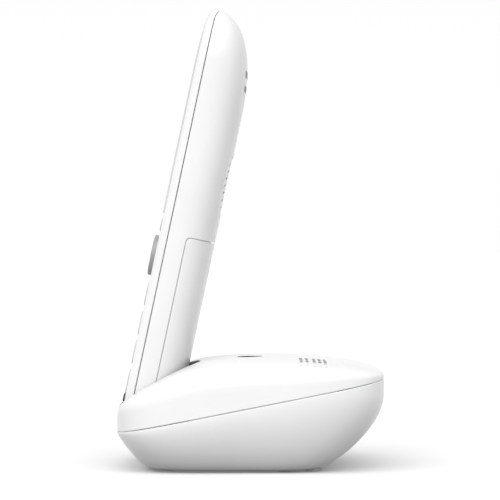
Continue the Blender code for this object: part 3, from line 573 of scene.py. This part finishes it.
def make_front_cover():
    """The front shell, open behind, with the lens's room, the lower key face and every hole."""
    steps = 26
    rings = [front_ring(HALF_SEAM - COVER_SEAM, 0, steps, EDGE)]
    rings.append(front_ring(HALF_SEAM + EDGE - COVER_SEAM, 0, steps))
    for depth in (0, *FRONT_LEVELS):
        rings.append(front_ring(depth * MM, 0, steps))
    cover = loft("front_cover_fine", rings)
    hollow = [front_ring(depth, WALL, 14) for depth in (0, 0.9 * MM)]
    hollow.insert(0, [(x, 2 * MM, z) for x, _, z in hollow[0]])
    hollow = loft("hollow", hollow)
    cut(hollow, boxes("brow", [((-30, -10, HOOK_START / MM), (30, -0.05, 175))]))
    cut(cover, hollow)
    cut(cover, boxes("key_room", [((-21.4, -1.75, 5.5), (21.4, 2, 80.2))]))
    cut(cover, lens_layer("lens_room", LENS_ROOM, LENS_FOOT - LENS_GAP, LENS_ROOM_BACK))
    cut(cover, boxes("key_face_room", [((-30, -10, -5), (30, -KEY_FACE / MM, LENS_FOOT / MM))]))
    holes = bmesh.new()
    for _, _, x, z, width, height in key_places():
        corner = min(2.9 * MM, height / 2)
        outline = rounded_rectangle(width / 2 + KEY_GAP, height / 2 + KEY_GAP, corner, 6)
        add_loft(holes, [[(x + a, y, z + b) for a, b in outline] for y in (-5 * MM, 0.5 * MM)])
    add_rod(holes, NAV_HOLE_RADIUS, (0, -6, NAV_CENTRE / MM), (0, 0.5, NAV_CENTRE / MM), 72)
    add_rod(holes, 0.7 * MM, (0, -6, MICROPHONE_HEIGHT / MM), (0, 0.5, MICROPHONE_HEIGHT / MM), 24)
    cut(cover, object_from("front_holes", holes))
    cut(cover, boxes("window", [((-18, -5, 96), (18, 0.5, 130)), ((-6, -5, 150.7), (6, 0.5, 152.3))]))
    hook(cover, CHAMFER_DEPTH + COVER_SEAM)
    finish(cover, "handset", WHITE_HANDSET, ["handset_front_cover"], True)


def make_back_cover():
    """The back shell, with rooms for the door, the cells, the grille and the charging pads."""
    cover = back_body("back_cover_fine", 0, COVER_SEAM + HALF_SEAM, edge=EDGE)
    door_room = door_prism("door_room", 0.15 * MM)
    cut(door_room, back_body("under_door_skin", DOOR_THICKNESS + 0.3 * MM, 0, 16, 14))
    cut(cover, door_room)
    cut(cover, open_hollow("hollow_low", BAY_INSET))
    high = open_hollow("hollow_high", WALL)
    cut(high, boxes("below", [((-40, -20, -20), (40, 40, 75.5))]))
    cut(cover, high)
    cut(cover, grille_prism("grille_opening", 0.6 * MM))
    pad_middles = (-CHARGE_PAD_X / MM, CHARGE_PAD_X / MM)
    pads = [((x - 2.8, 1.9, -1), (x + 2.8, 6.0, 2.3)) for x in pad_middles]
    cut(cover, boxes("contact_rooms", pads))
    hook(cover, 7 * MM)
    finish(cover, "handset", WHITE_HANDSET, ["handset_back_cover"], True)


def make_door():
    """The battery door, a piece of the back's skin with four grip grooves."""
    door = back_body("door_fine", 0, DOOR_EDGE)
    cut(door, back_body("under_door", DOOR_THICKNESS, 0, 16, 16))
    combine(door, door_prism("door_region", -0.1 * MM), "INTERSECT")
    grooves = [((-7, 18.35, z), (7, 22, z + 0.9)) for z in (60, 62, 64, 66)]
    cut(door, boxes("grip_grooves", grooves))
    finish(door, "battery_door", WHITE_HANDSET, ["battery_door"], True)


def make_grille():
    """A slotted oval plate in a groove, on a grey ring that closes the groove's floor and is painted shade
    for the groove.
    """
    grille = back_body("grille_fine", 0.3 * MM, 9 * MM, 26, 20)
    cut(grille, back_body("under_grille", 1.1 * MM, 0, 16, 14))
    combine(grille, grille_prism("grille_outline", -0.3 * MM), "INTERSECT")
    slots = bmesh.new()
    slot_pitch, slot_half_height = 2.9, 0.6
    for index in range(-3, 4):
        z = index * slot_pitch
        half = 10.5 * superellipse(abs(z) / 13, 2) - slot_half_height
        outline = rounded_rectangle((half + slot_half_height) * MM, slot_half_height * MM, 0.59 * MM, 5)
        ring = [(a, SPEAKER_HEIGHT + z * MM + b) for a, b in outline]
        add_loft(slots, [[(a, y, b) for a, b in ring] for y in (10 * MM, 25 * MM)])
    cut(grille, object_from("slots", slots))
    finish(grille, "handset", WHITE_HANDSET, ["speaker_grille"], True)
    # A grey ring just under the skin round the grille: painted shade in the groove.
    seat = back_body("grille_shade_ring", 0.4 * MM, 9 * MM, 26, 20)
    cut(seat, back_body("under_grille_shade_ring", 1.6 * MM, 0, 16, 14))
    combine(seat, grille_prism("grille_shade_ring_outline", 0.55 * MM), "INTERSECT")
    cut(seat, grille_prism("seat_room", -0.28 * MM))
    finish(seat, "handset", GROOVE_SHADE_GREY, seated=True)


def lens_layer(name, depth, foot, back):
    """The space less than a depth under the front and the curve at its top, above a foot."""
    far_front, far_top, far_side = -10 * MM, 175 * MM, 30 * MM
    profile = [(far_front, foot), (depth - FACE_DEPTH, foot)]
    for step in range(31):
        angle = radians(90 - 3 * step)
        y = -(FACE_DEPTH - depth) * sin(angle)
        z = LENGTH - TOP_EDGE + (TOP_EDGE - depth) * cos(angle)
        if y < -back:
            profile.append((y, z))
    profile += [(-back, LENGTH - depth), (-back, far_top), (far_front, far_top)]
    return loft(name, [[(x, y, z) for y, z in profile] for x in (-far_side, far_side)])


def make_lens():
    """The lens plate, with the clear pane in its window and the dark bezel behind it."""
    lens = loft("lens_fine", [front_ring(depth * MM, 0, 26) for depth in (0.1, *FRONT_LEVELS)])
    combine(lens, lens_layer("lens_layer", LENS_THICKNESS, LENS_FOOT, LENS_BACK), "INTERSECT")
    through = (-6 * MM, 1 * MM)
    cut(lens, across_plate("ear_slot", EAR_SLOT_CENTRE, (12 * MM, 1.6 * MM), through, 0.79 * MM))
    cut(lens, across_plate("lens_window", WINDOW_CENTRE, (35 * MM, 31 * MM), through, 2 * MM))
    hook(lens, CHAMFER_DEPTH + COVER_SEAM)
    finish(lens, "handset", LENS_EDGE, ["front_lens"], True)
    size, depths = (34.8 * MM, 30.8 * MM), (-2.5 * MM, -3.02 * MM)
    pane = across_plate("display_pane", WINDOW_CENTRE, size, depths, 1.9 * MM)
    finish(pane, "handset", PANE, seated=True)
    size, depths = (35.6 * MM, 33.6 * MM), (-1.2 * MM, -2.3 * MM)
    bezel = across_plate("display_bezel", WINDOW_CENTRE, size, depths, 1 * MM)
    size, depths = (33 * MM, 29 * MM), (-0.5 * MM, -3 * MM)
    cut(bezel, across_plate("bezel_room", WINDOW_CENTRE, size, depths, 1 * MM))
    finish(bezel, "handset", DARK, seated=True)


def make_segments():
    """A generic clock and two plain indicators on the display."""
    segments = {"0": "abcdef", "1": "bc", "2": "abged"}
    wide, tall, thick = 3.4, 7.0, 0.7
    bars = {
        "a": (0.3, tall - thick, wide - 0.3, tall),
        "b": (wide - thick, tall / 2 + 0.2, wide, tall - 0.3),
        "c": (wide - thick, 0.3, wide, tall / 2 - 0.2),
        "d": (0.3, 0, wide - 0.3, thick),
        "e": (0, 0.3, thick, tall / 2 - 0.2),
        "f": (0, tall / 2 + 0.2, thick, tall - 0.3),
        "g": (0.3, tall / 2 - thick / 2, wide - 0.3, tall / 2 + thick / 2),
    }
    corners = []

    def bar(x0, z0, x1, z1):
        corners.append(((x0, -0.75, z0), (x1, -0.65, z1)))

    foot = 109
    for digit, x in (("1", -11), ("0", -5.6), ("1", 1.8), ("2", 7.2)):
        for name in segments[digit]:
            x0, z0, x1, z1 = bars[name]
            bar(x + x0, foot + z0, x + x1, foot + z1)
    bar(-0.9, 111, -0.2, 111.7)
    bar(-0.9, 114, -0.2, 114.7)
    for index in range(4):
        bar(-14 + index * 1.2, 124, -13.3 + index * 1.2, 124.8 + index * 0.6)
    bar(9.5, 124, 13.8, 124.3)
    bar(9.5, 126, 13.8, 126.3)
    bar(9.5, 124.3, 9.8, 126)
    bar(13.5, 124.3, 13.8, 126)
    bar(10.2, 124.7, 12.2, 125.6)
    finish(boxes("display_segments", corners), "handset", SEGMENT, seated=True)


# --- keys ---------------------------------------------------------------------------------------------


def key_top(node):
    """The depth of a key's top in the handset's frame."""
    return -KEY_FACE - (CALL_KEY_RISE if node in CALL_KEYS else KEY_RISE)


def make_key(node, x, z, width, length):
    """A key cap with a flange behind the cover, a rounded edge and a slightly crowned top."""
    flange = 0.55 * MM
    corner = min(2.6 * MM, length / 2 * 0.9)
    base = -KEY_FACE
    top = key_top(node)
    levels = [(base + 1.7 * MM, flange), (base + 1 * MM, flange), (base + 1 * MM, 0)]
    for step in range(6):
        angle = step / 5 * pi / 2
        levels.append((top + 0.12 * MM + 0.3 * MM * (1 - sin(angle)), -0.4 * MM * (1 - cos(angle))))
    levels += [(top + 0.05 * MM, -1.2 * MM), (top, -2.2 * MM)]
    rings = []
    for depth, grow in levels:
        radius = max(corner + grow, 0.35 * MM)
        outline = rounded_rectangle(width / 2 + grow, length / 2 + grow, radius, 6)
        rings.append([(x + a, depth, z + b) for a, b in outline])
    key = loft(node + "_fine", rings)
    # The keys' grey is partly their own colour and partly painted shade for their sides.
    finish(key, node, KEY_GREY_AND_SHADE, [node], True, 40)


def legend(name, text, x, z, size, body, material):
    """A printed character lying on a key's top."""
    curve = bpy.data.curves.new(name, "FONT")
    curve.body = text
    curve.size = size
    curve.align_x = "CENTER"
    curve.align_y = "CENTER"
    curve.extrude = 0.00001
    source = bpy.data.objects.new(name + "_source", curve)
    bpy.context.scene.collection.objects.link(source)
    graph = bpy.context.evaluated_depsgraph_get()
    data = bpy.data.meshes.new_from_object(source.evaluated_get(graph))
    bpy.data.objects.remove(source, do_unlink=True)
    obj = bpy.data.objects.new(name, data)
    bpy.context.scene.collection.objects.link(obj)
    middle = sum((v.co.y for v in data.vertices), 0.0) / len(data.vertices)
    place = (x, key_top(body) - 0.012 * MM, z)
    data.transform(Matrix.Translation(place) @ Matrix.Rotation(pi / 2, 4, "X"))
    data.transform(Matrix.Translation((0, 0, -middle)))
    finish(obj, body, material, seated=True)


def icon_bar(name, x, z, width, height, tilt, body, material):
    """A rounded bar printed on a key, tilted about the view onto the key."""
    outline = rounded_rectangle(width / 2, height / 2, height / 2 * 0.98, 6)
    top = key_top(body)
    turn = Matrix.Rotation(tilt, 2)
    rings = []
    for depth in (top - 0.002 * MM, top - 0.03 * MM):
        ring = []
        for point in outline:
            a, b = turn @ Vector(point)
            ring.append((x + a, depth, z + b))
        rings.append(ring)
    finish(loft(name, rings), body, material, seated=True)


def make_keys():
    """Every key that presses straight in, with its number or mark."""
    for node, text, x, z, width, length in key_places():
        make_key(node, x, z, width, length)
        if text:
            legend(node + "_legend", text, x, z, 6.2 * MM, node, INK)
    wide, high = 5 * MM, 1.5 * MM
    icon_bar("talk_key_mark", -CALL_KEY_X, CALL_KEY_Z, wide, high, radians(35), "talk_key", GREEN_INK)
    icon_bar("end_key_mark", CALL_KEY_X, CALL_KEY_Z, wide, high, 0, "end_key", RED_INK)
    for side, sign in (("left", -1), ("right", 1)):
        body = "soft_key_" + side
        icon_bar(body + "_mark", sign * SOFT_KEY_X, SOFT_KEY_Z, 4 * MM, 0.6 * MM, 0, body, INK)


def make_nav_pad():
    """The round rocking pad with four raised arrows. Profiles are in mm from the rocking axis."""
    top = (NAV_RISE + FACE_DEPTH + NAV_AXIS_DEPTH) / MM
    profile = [(0, top - 0.6), (2.9, top - 0.6), (3.1, top - 0.75), (3.3, top - 0.75), (3.5, top - 0.5)]
    profile += [(4.1, top - 0.25), (5.2, top - 0.08), (6.6, top), (7.4, top - 0.03)]
    for step in range(7):
        angle = step / 6 * pi / 2
        profile.append((7.6 + 0.6 * sin(angle), top - 0.7 + 0.6 * cos(angle)))
    profile += [(8.2, -0.8), (9.1, -0.8), (9.1, -1.4), (0, -1.4)]
    pad = turned("nav_pad_fine", profile, 96)
    move = Matrix.Translation((0, NAV_AXIS_DEPTH, NAV_CENTRE)) @ Matrix.Rotation(pi / 2, 4, "X")
    pad.data.transform(move)
    finish(pad, "nav_pad", NAV_SILVER, ["nav_pad"], True)
    for index in range(4):
        angle = index * pi / 2
        mesh = bmesh.new()
        points = ((-0.75, 5.0), (0.75, 5.0), (0, 6.1))
        rings = []
        for height in (top - 0.1, top + 0.03):
            ring = []
            for a, b in points:
                x = a * cos(angle) - b * sin(angle)
                y = a * sin(angle) + b * cos(angle)
                ring.append((x * MM, y * MM, height * MM))
            rings.append(ring)
        add_loft(mesh, rings)
        arrow = object_from("nav_arrow_" + str(index + 1), mesh)
        arrow.data.transform(move)
        finish(arrow, "nav_pad", KEY_GREY_AND_SHADE, seated=True)


# --- base ---------------------------------------------------------------------------------------------


def parting_height(y):
    """The height of the sloping plane where the base's two shells meet."""
    return PARTING_FRONT + PARTING_SLOPE * (y + BASE_HALF_LENGTH)


def crest_height(y):
    """The dome's top line: a straight flank at the front that runs smoothly into a shallow arch."""
    flank = FLANK_HEIGHT + FLANK_SLOPE * (y - FLANK_Y)
    arch = CREST_HEIGHT - CREST_FALL * (y - CREST_Y) ** 2
    blend = 0.9 * MM
    return -blend * log(exp(-flank / blend) + exp(-arch / blend))


def plan_point(angle, half_width, half_length):
    """A point of the base's plan, in a direction from its middle."""
    across = abs(cos(angle) / half_width) ** PLAN_POWER
    along = abs(sin(angle) / half_length) ** PLAN_POWER
    radius = (across + along) ** (-1 / PLAN_POWER)
    return radius * cos(angle), radius * sin(angle)


def dome_height(x, y, inset=0.0, lift=0.0):
    """The height of the upper shell's skin over a point of its plan."""
    across = (abs(x) / (BASE_HALF_WIDTH - inset)) ** PLAN_POWER
    along = (abs(y) / (BASE_HALF_LENGTH - inset)) ** PLAN_POWER
    reach = min((across + along) ** (1 / PLAN_POWER), 1)
    foot = parting_height(y) + lift
    return foot + (crest_height(y) - inset - foot) * superellipse(reach, 6.2 - 1.7 * y / BASE_HALF_LENGTH)


def dome(name, inset, lift, count, reaches, edge=0.0):
    """The solid under the upper shell's skin, above the parting plane raised by lift."""
    rings = []
    outline = []
    for i in range(count):
        outline.append(plan_point(2 * pi * i / count, BASE_HALF_WIDTH - inset, BASE_HALF_LENGTH - inset))
    if edge:
        ring = []
        for x, y in outline:
            shrink = 1 - edge / Vector((x, y)).length
            ring.append((x * shrink, y * shrink, parting_height(y) + lift))
        rings.append(ring)
    for reach in reaches:
        ring = []
        for x, y in outline:
            x, y = x * reach, y * reach
            height = dome_height(x, y, inset, lift)
            ring.append((x, y, max(height, parting_height(y) + lift + edge)))
        rings.append(ring)
    return loft(name, rings)


def bowl(name, inset, top_lift, count, steps, floor, edge=0.0):
    """The solid inside the lower shell's skin, up to the parting plane raised by top_lift."""
    rings = []
    for step in range(steps + 2):
        share = min(step / steps, 1)
        ring = []
        for i in range(count):
            angle = 2 * pi * i / count
            top_x, top_y = plan_point(angle, BASE_HALF_WIDTH - inset, BASE_HALF_LENGTH - inset)
            low_x, low_y = plan_point(angle, BOTTOM_HALF_WIDTH - inset, BOTTOM_HALF_LENGTH - inset)
            low_y += BOTTOM_CENTRE
            toward_back = top_y / BASE_HALF_LENGTH
            toward_side = (abs(top_x) / BASE_HALF_WIDTH) ** 4
            out_power = 1.11 * (1 - toward_side) + SIDE_BOWL_POWER * toward_side
            up_power = (1.46 + 0.34 * toward_back) * (1 - toward_side) + SIDE_BOWL_POWER * toward_side
            upright = (3.5 + 3 * toward_back) * (1 - toward_side) + SIDE_UPRIGHT * toward_side
            upright *= MM
            out = sin(share * pi / 2) ** (2 / out_power)
            up = 1 - max(0.0, cos(share * pi / 2)) ** (2 / up_power)
            x = low_x + (top_x - low_x) * out
            y = low_y + (top_y - low_y) * out
            z = floor + (parting_height(top_y) - upright - floor) * up
            if step > steps:
                z = parting_height(top_y) + top_lift - edge
            ring.append((x, y, z))
        rings.append(ring)
    if edge:
        ring = []
        for x, y, z in rings[-1]:
            shrink = 1 - edge / Vector((x, y)).length
            ring.append((x * shrink, y * shrink, z + edge))
        rings.append(ring)
    return loft(name, rings)


def opening_prism(name, margin, low, high):
    """The cradle's opening, in the handset's frame: square at the front and half an oval behind."""
    half, corner, power = 25.1 * MM + margin, 4 * MM, 2.6
    front, middle, back = -3.65 * MM - margin, 2 * MM, 22.8 * MM
    right = []
    for step in range(9):
        angle = (step / 8 - 1) * pi / 2
        right.append((half - corner + corner * cos(angle), front + corner + corner * sin(angle)))
    for step in range(25):
        angle = step / 24 * pi / 2
        x = half * abs(cos(angle)) ** (2 / power)
        right.append((x, middle + (back + margin - middle) * sin(angle) ** (2 / power)))
    right[-1] = (0, back + margin)
    outline = right + [(-x, y) for x, y in reversed(right[:-1])]
    prism = loft(name, [[(x, y, z) for x, y in outline] for z in (low, high)])
    prism.data.transform(SEAT)
    return prism


def make_upper_shell():
    """The dome, with its rings closer together near the rim, where it turns fastest."""
    outer = [1, 0.9995, 0.998, 0.995, 0.99, 0.982, 0.97, 0.955, 0.935, 0.91, 0.88, 0.845, 0.8, 0.745]
    outer += [0.68, 0.6, 0.51, 0.41, 0.3, 0.19, 0.09, 0.02]
    inner = (1, 0.985, 0.95, 0.88, 0.72, 0.45, 0.1)
    shell = dome("upper_shell_fine", 0, HALF_SEAM, 144, outer, EDGE)
    cut(shell, dome("upper_hollow", BASE_WALL, -3 * MM, 64, inner))
    cut(shell, opening_prism("cradle_opening", 0.4 * MM, -0.6 * MM, 90 * MM))
    cut(shell, rods("page_opening", PAGE_RADIUS + 0.34 * MM, [((0, 0, 38), (0, 0, 50))], 64))
    finish(shell, "base", WHITE_BASE, ["base_upper_shell"])
    shell.visible_diffuse = False


def make_lower_shell():
    """The bowl, with its screw columns, the rooms for its feet and the openings for its sockets."""
    shell = bowl("lower_shell_fine", 0, -HALF_SEAM, 144, 26, BOTTOM_HEIGHT, EDGE)
    cut(shell, bowl("lower_hollow", BASE_WALL, 3 * MM, 64, 12, BOTTOM_HEIGHT + 2 * MM))
    side, y = COLUMN_X / MM, COLUMN_Y / MM
    columns = [((x, y, 2.2), (x, y, 7.4)) for x in (-side, side)]
    combine(shell, rods("columns", 4.4 * MM, columns), "UNION")
    heads = [((x, y, 0), (x, y, 4.4)) for x in (-side, side)]
    cut(shell, rods("head_rooms", 3.3 * MM, heads))
    cut(shell, rods("shank_rooms", 1.75 * MM, [((x, y, 0), (x, y, 10)) for x in (-side, side)]))
    cut(shell, rods("foot_rooms", 3.3 * MM, [((x, y, 0), (x, y, 2)) for x, y in FEET]))
    line_opening = ((-20.4, 34.3, 20.1), (-6.7, 60, 32))
    power_opening = ((8.2, 34.3, 20.4), (17.8, 60, 32))
    cut(shell, boxes("socket_openings", [line_opening, power_opening]))
    finish(shell, "base", WHITE_BASE, ["base_lower_shell"])


def make_cradle_liner_and_shade_lip():
    """The thin dark wall that lines the opening up to the dome's skin, partly a dark insert and partly
    painted shade in the cradle, and a dark lip before the handset that is painted shade.
    """
    inner = (1, 0.99, 0.975, 0.955, 0.93, 0.9, 0.86, 0.81, 0.74, 0.66, 0.55, 0.42, 0.27, 0.1)
    shade_liner = opening_prism("cradle_liner_shade", 0.4 * MM, 2 * MM, 60 * MM)
    cut(shade_liner, opening_prism("liner_room", 0.02 * MM, -10 * MM, 90 * MM))
    combine(shade_liner, dome("liner_limit", 0.12 * MM, -3 * MM, 96, inner), "INTERSECT")
    # A dark lip before the handset's face, painted shade for the shadowed slot there.
    size, depths = (38 * MM, 2.8 * MM), (-2.7 * MM, -3.3 * MM)
    shade_lip = across_plate("cradle_shade_lip", (0, 7.1 * MM), size, depths, 1.3 * MM)
    shade_lip.data.transform(SEAT)
    finish(shade_liner, "base", DARK)
    finish(shade_lip, "base", DARK)


def arc_bar(radius, height):
    """The outline of a short arc of ink. Radius and height are in mm, and its centre is before the axis."""
    start, sweep, steps, half_line, middle = 50, 80, 12, 0.18, -1.4
    sides = []
    for side in (radius + half_line, radius - half_line):
        points = []
        for step in range(steps + 1):
            angle = radians(start + sweep * step / steps)
            points.append((side * cos(angle) * MM, side * sin(angle) * MM + middle * MM, height * MM))
        sides.append(points)
    outer, inner = sides
    return outer + inner[::-1]


def make_page_button():
    """The round button in the dome, with three arcs as its mark and a grey ring of painted shade round it.
    Profiles are in mm.
    """
    top = crest_height(0) / MM - 0.35
    profile = [(0, top), (3.5, top)]
    for step in range(6):
        angle = step / 5 * pi / 2
        profile.append((4.6 + 0.4 * sin(angle), top - 0.4 + 0.4 * cos(angle)))
    profile += [(5, top - 2.6), (2, top - 2.8), (2, 37.2), (0, 37.2)]
    button = turned("page_button_fine", profile, 72)
    finish(button, "page_button", WHITE_BASE, ["page_button"])
    # A grey ring in the gap round the button, painted shade for the gap's wall. turned() closes both ends,
    # so the ring's upper end lies over the button as a thin lid
    skin = top + 0.3
    ring = turned("page_shade_ring", [(5.32, skin), (5.32, skin - 2), (5.1, skin - 2), (5.1, skin)], 72)
    finish(ring, "base", LENS_EDGE)
    for index, radius in enumerate((1.1, 1.9, 2.7)):
        rings = [arc_bar(radius, height) for height in (top - 0.02, top + 0.015)]
        arc = loft("page_mark_" + str(index + 1), rings)
        finish(arc, "page_button", INK)


def dome_mark(name, centre, size):
    """A small flat bar on the dome. Its rim follows the skin and its middle doesn't."""
    outline = rounded_rectangle(size[0] / 2, size[1] / 2, min(size) / 2 * 0.95, 4)
    rings = []
    for lift in (-0.05 * MM, 0.02 * MM):
        ring = []
        for a, b in outline:
            x, y = centre[0] + a, centre[1] + b
            ring.append((x, y, dome_height(x, y) + lift))
        rings.append(ring)
    finish(loft(name, rings), "base", INK)


def back_depth(x, z):
    """How far back the handset's skin is at a place on its back."""
    low, high = 0.0, BODY_DEPTH
    for _ in range(30):
        depth = (low + high) / 2
        reach = depth / BODY_DEPTH
        half_width = HALF_WIDTH * superellipse(reach, SIDE_POWER)
        top = BACK_CURVE_START + (LENGTH - BACK_CURVE_START) * superellipse(reach, BACK_CURVE_POWER)
        rise = max(0.0, z - top + TOP_ROUND) / TOP_ROUND
        inside = z < top and (abs(x) / half_width) ** TOP_POWER + rise**TOP_POWER < 1
        low, high = (depth, high) if inside else (low, depth)
    return low


def back_mark(name, centre, size):
    """A small rounded bar printed on the handset's back."""
    outline = rounded_rectangle(size[0] / 2, size[1] / 2, min(size) / 2 * 0.95, 4)
    rings = []
    for lift in (-0.06 * MM, 0.02 * MM):
        ring = []
        for a, b in outline:
            x, z = centre[0] + a, centre[1] + b
            ring.append((x, back_depth(x, z) + lift, z))
        rings.append(ring)
    finish(loft(name, rings), "handset", INK, seated=True)


def make_marks():
    """Plain bars where the real phone has print."""
    for index, y in enumerate((19.6, 21.9, 24.7, 26.8, 28.9)):
        for row, x in enumerate((17, 25, 33, 40.5)):
            name = "dome_mark_" + str(index + 1) + "_" + str(row + 1)
            dome_mark(name, (x * MM, y * MM), (5.4 * MM, 1.2 * MM))
    pitch, upper_row, lower_row = 3.1 * MM, 141.8 * MM, 136.1 * MM
    for index in range(7):
        x = (index - 3) * pitch
        back_mark("back_mark_" + str(index + 1), (x, upper_row), (2.2 * MM, 3.2 * MM))
        back_mark("back_bar_" + str(index + 1), (x, lower_row), (2.2 * MM, 2.8 * MM))


def make_base_details():
    """The four feet and the contacts of the line socket."""
    for index, (x, y) in enumerate(FEET):
        profile = [(0, 1.7), (3, 1.7)]
        for step in range(5):
            angle = step / 4 * pi / 2
            profile.append((2.6 + 0.4 * cos(angle), 0.4 - 0.4 * sin(angle)))
        profile.append((0, 0))
        foot = turned("foot_fine_" + str(index + 1), profile, 48)
        foot.data.transform(Matrix.Translation((x * MM, y * MM, 0)))
        finish(foot, "base", RUBBER, ["rubber_foot_" + str(index + 1)])
    pins = []
    pin_pitch = 1.02
    for index in range(4):
        x = LINE_SOCKET_X / MM + (index - 1.5) * pin_pitch
        pins.append(((x - 0.18, 38.8, 27.6), (x + 0.18, 47.7, 28.1)))
    finish(boxes("line_socket_pins", pins), "base", GOLD)


# --- scene --------------------------------------------------------------------------------------------


def dress_frame_nodes():
    """Every CAD node that stays gets its slot's finish."""
    for entry in frame["record"]["subparts"]:
        node = frame["nodes"][entry["node"]]
        node.data.materials.clear()
        node.data.materials.append(SLOT_MATERIALS[entry["material_slot"]])


def make_world():
    """Soft studio light: brightest round the horizon, a little less overhead and dim from below."""
    world = bpy.data.worlds.new("studio")
    bpy.context.scene.world = world
    world.use_nodes = True
    tree = world.node_tree
    place = tree.nodes.new("ShaderNodeTexCoord")
    split = tree.nodes.new("ShaderNodeSeparateXYZ")
    height = tree.nodes.new("ShaderNodeMapRange")
    height.inputs["From Min"].default_value = -1
    tones = tree.nodes.new("ShaderNodeValToRGB")
    stops = tones.color_ramp.elements
    below, just_below, just_above, overhead = 0.43, 0.49, 0.54, 1
    stops[0].position, stops[1].position = below, overhead
    for position in (just_below, just_above):
        stops.new(position)
    for stop, tone in zip(stops, (SKY_BELOW, SKY_HORIZON, SKY_HORIZON, SKY_ABOVE)):
        stop.color = (tone, tone, tone, 1)
    tree.links.new(place.outputs["Generated"], split.inputs["Vector"])
    tree.links.new(split.outputs["Z"], height.inputs["Value"])
    tree.links.new(height.outputs["Result"], tones.inputs["Fac"])
    tree.links.new(tones.outputs["Color"], tree.nodes["Background"].inputs["Color"])


def make_sun():
    """A very wide, soft light from beside and above."""
    data = bpy.data.lights.new("soft_sun", "SUN")
    data.energy = SUN_STRENGTH
    data.angle = radians(SUN_SPREAD)
    sun = bpy.data.objects.new("soft_sun", data)
    sun.rotation_euler = Vector(SUN_FROM).to_track_quat("Z", "Y").to_euler()
    bpy.context.scene.collection.objects.link(sun)


def make_floor():
    """A wide white floor that takes the shadow."""
    mesh = bmesh.new()
    bmesh.ops.create_grid(mesh, x_segments=2, y_segments=2, size=FLOOR_HALF_SIZE)
    floor = object_from("floor", mesh)
    made, _ = new_material("floor_white", (FLOOR_TONE, FLOOR_TONE, FLOOR_TONE), 0.7)
    floor.data.materials.append(made)
    floor.visible_diffuse = False


def make_camera():
    """A long lens about level with the middle of the phone, looking along X at its side."""
    data = bpy.data.cameras.new("camera")
    data.sensor_width = 36
    data.lens = 180
    data.clip_end = 100
    camera = bpy.data.objects.new("camera", data)
    camera.location = CAMERA_PLACE
    camera.rotation_euler = (pi / 2, 0, pi / 2)
    bpy.context.scene.collection.objects.link(camera)
    bpy.context.scene.camera = camera


make_front_cover()
make_back_cover()
make_door()
make_grille()
make_lens()
make_segments()
make_keys()
make_nav_pad()
make_upper_shell()
make_lower_shell()
make_cradle_liner_and_shade_lip()
make_page_button()
make_base_details()
make_marks()
dress_frame_nodes()
make_world()
make_floor()
make_sun()
make_camera()
bpy.context.scene.view_settings.view_transform = "Standard"
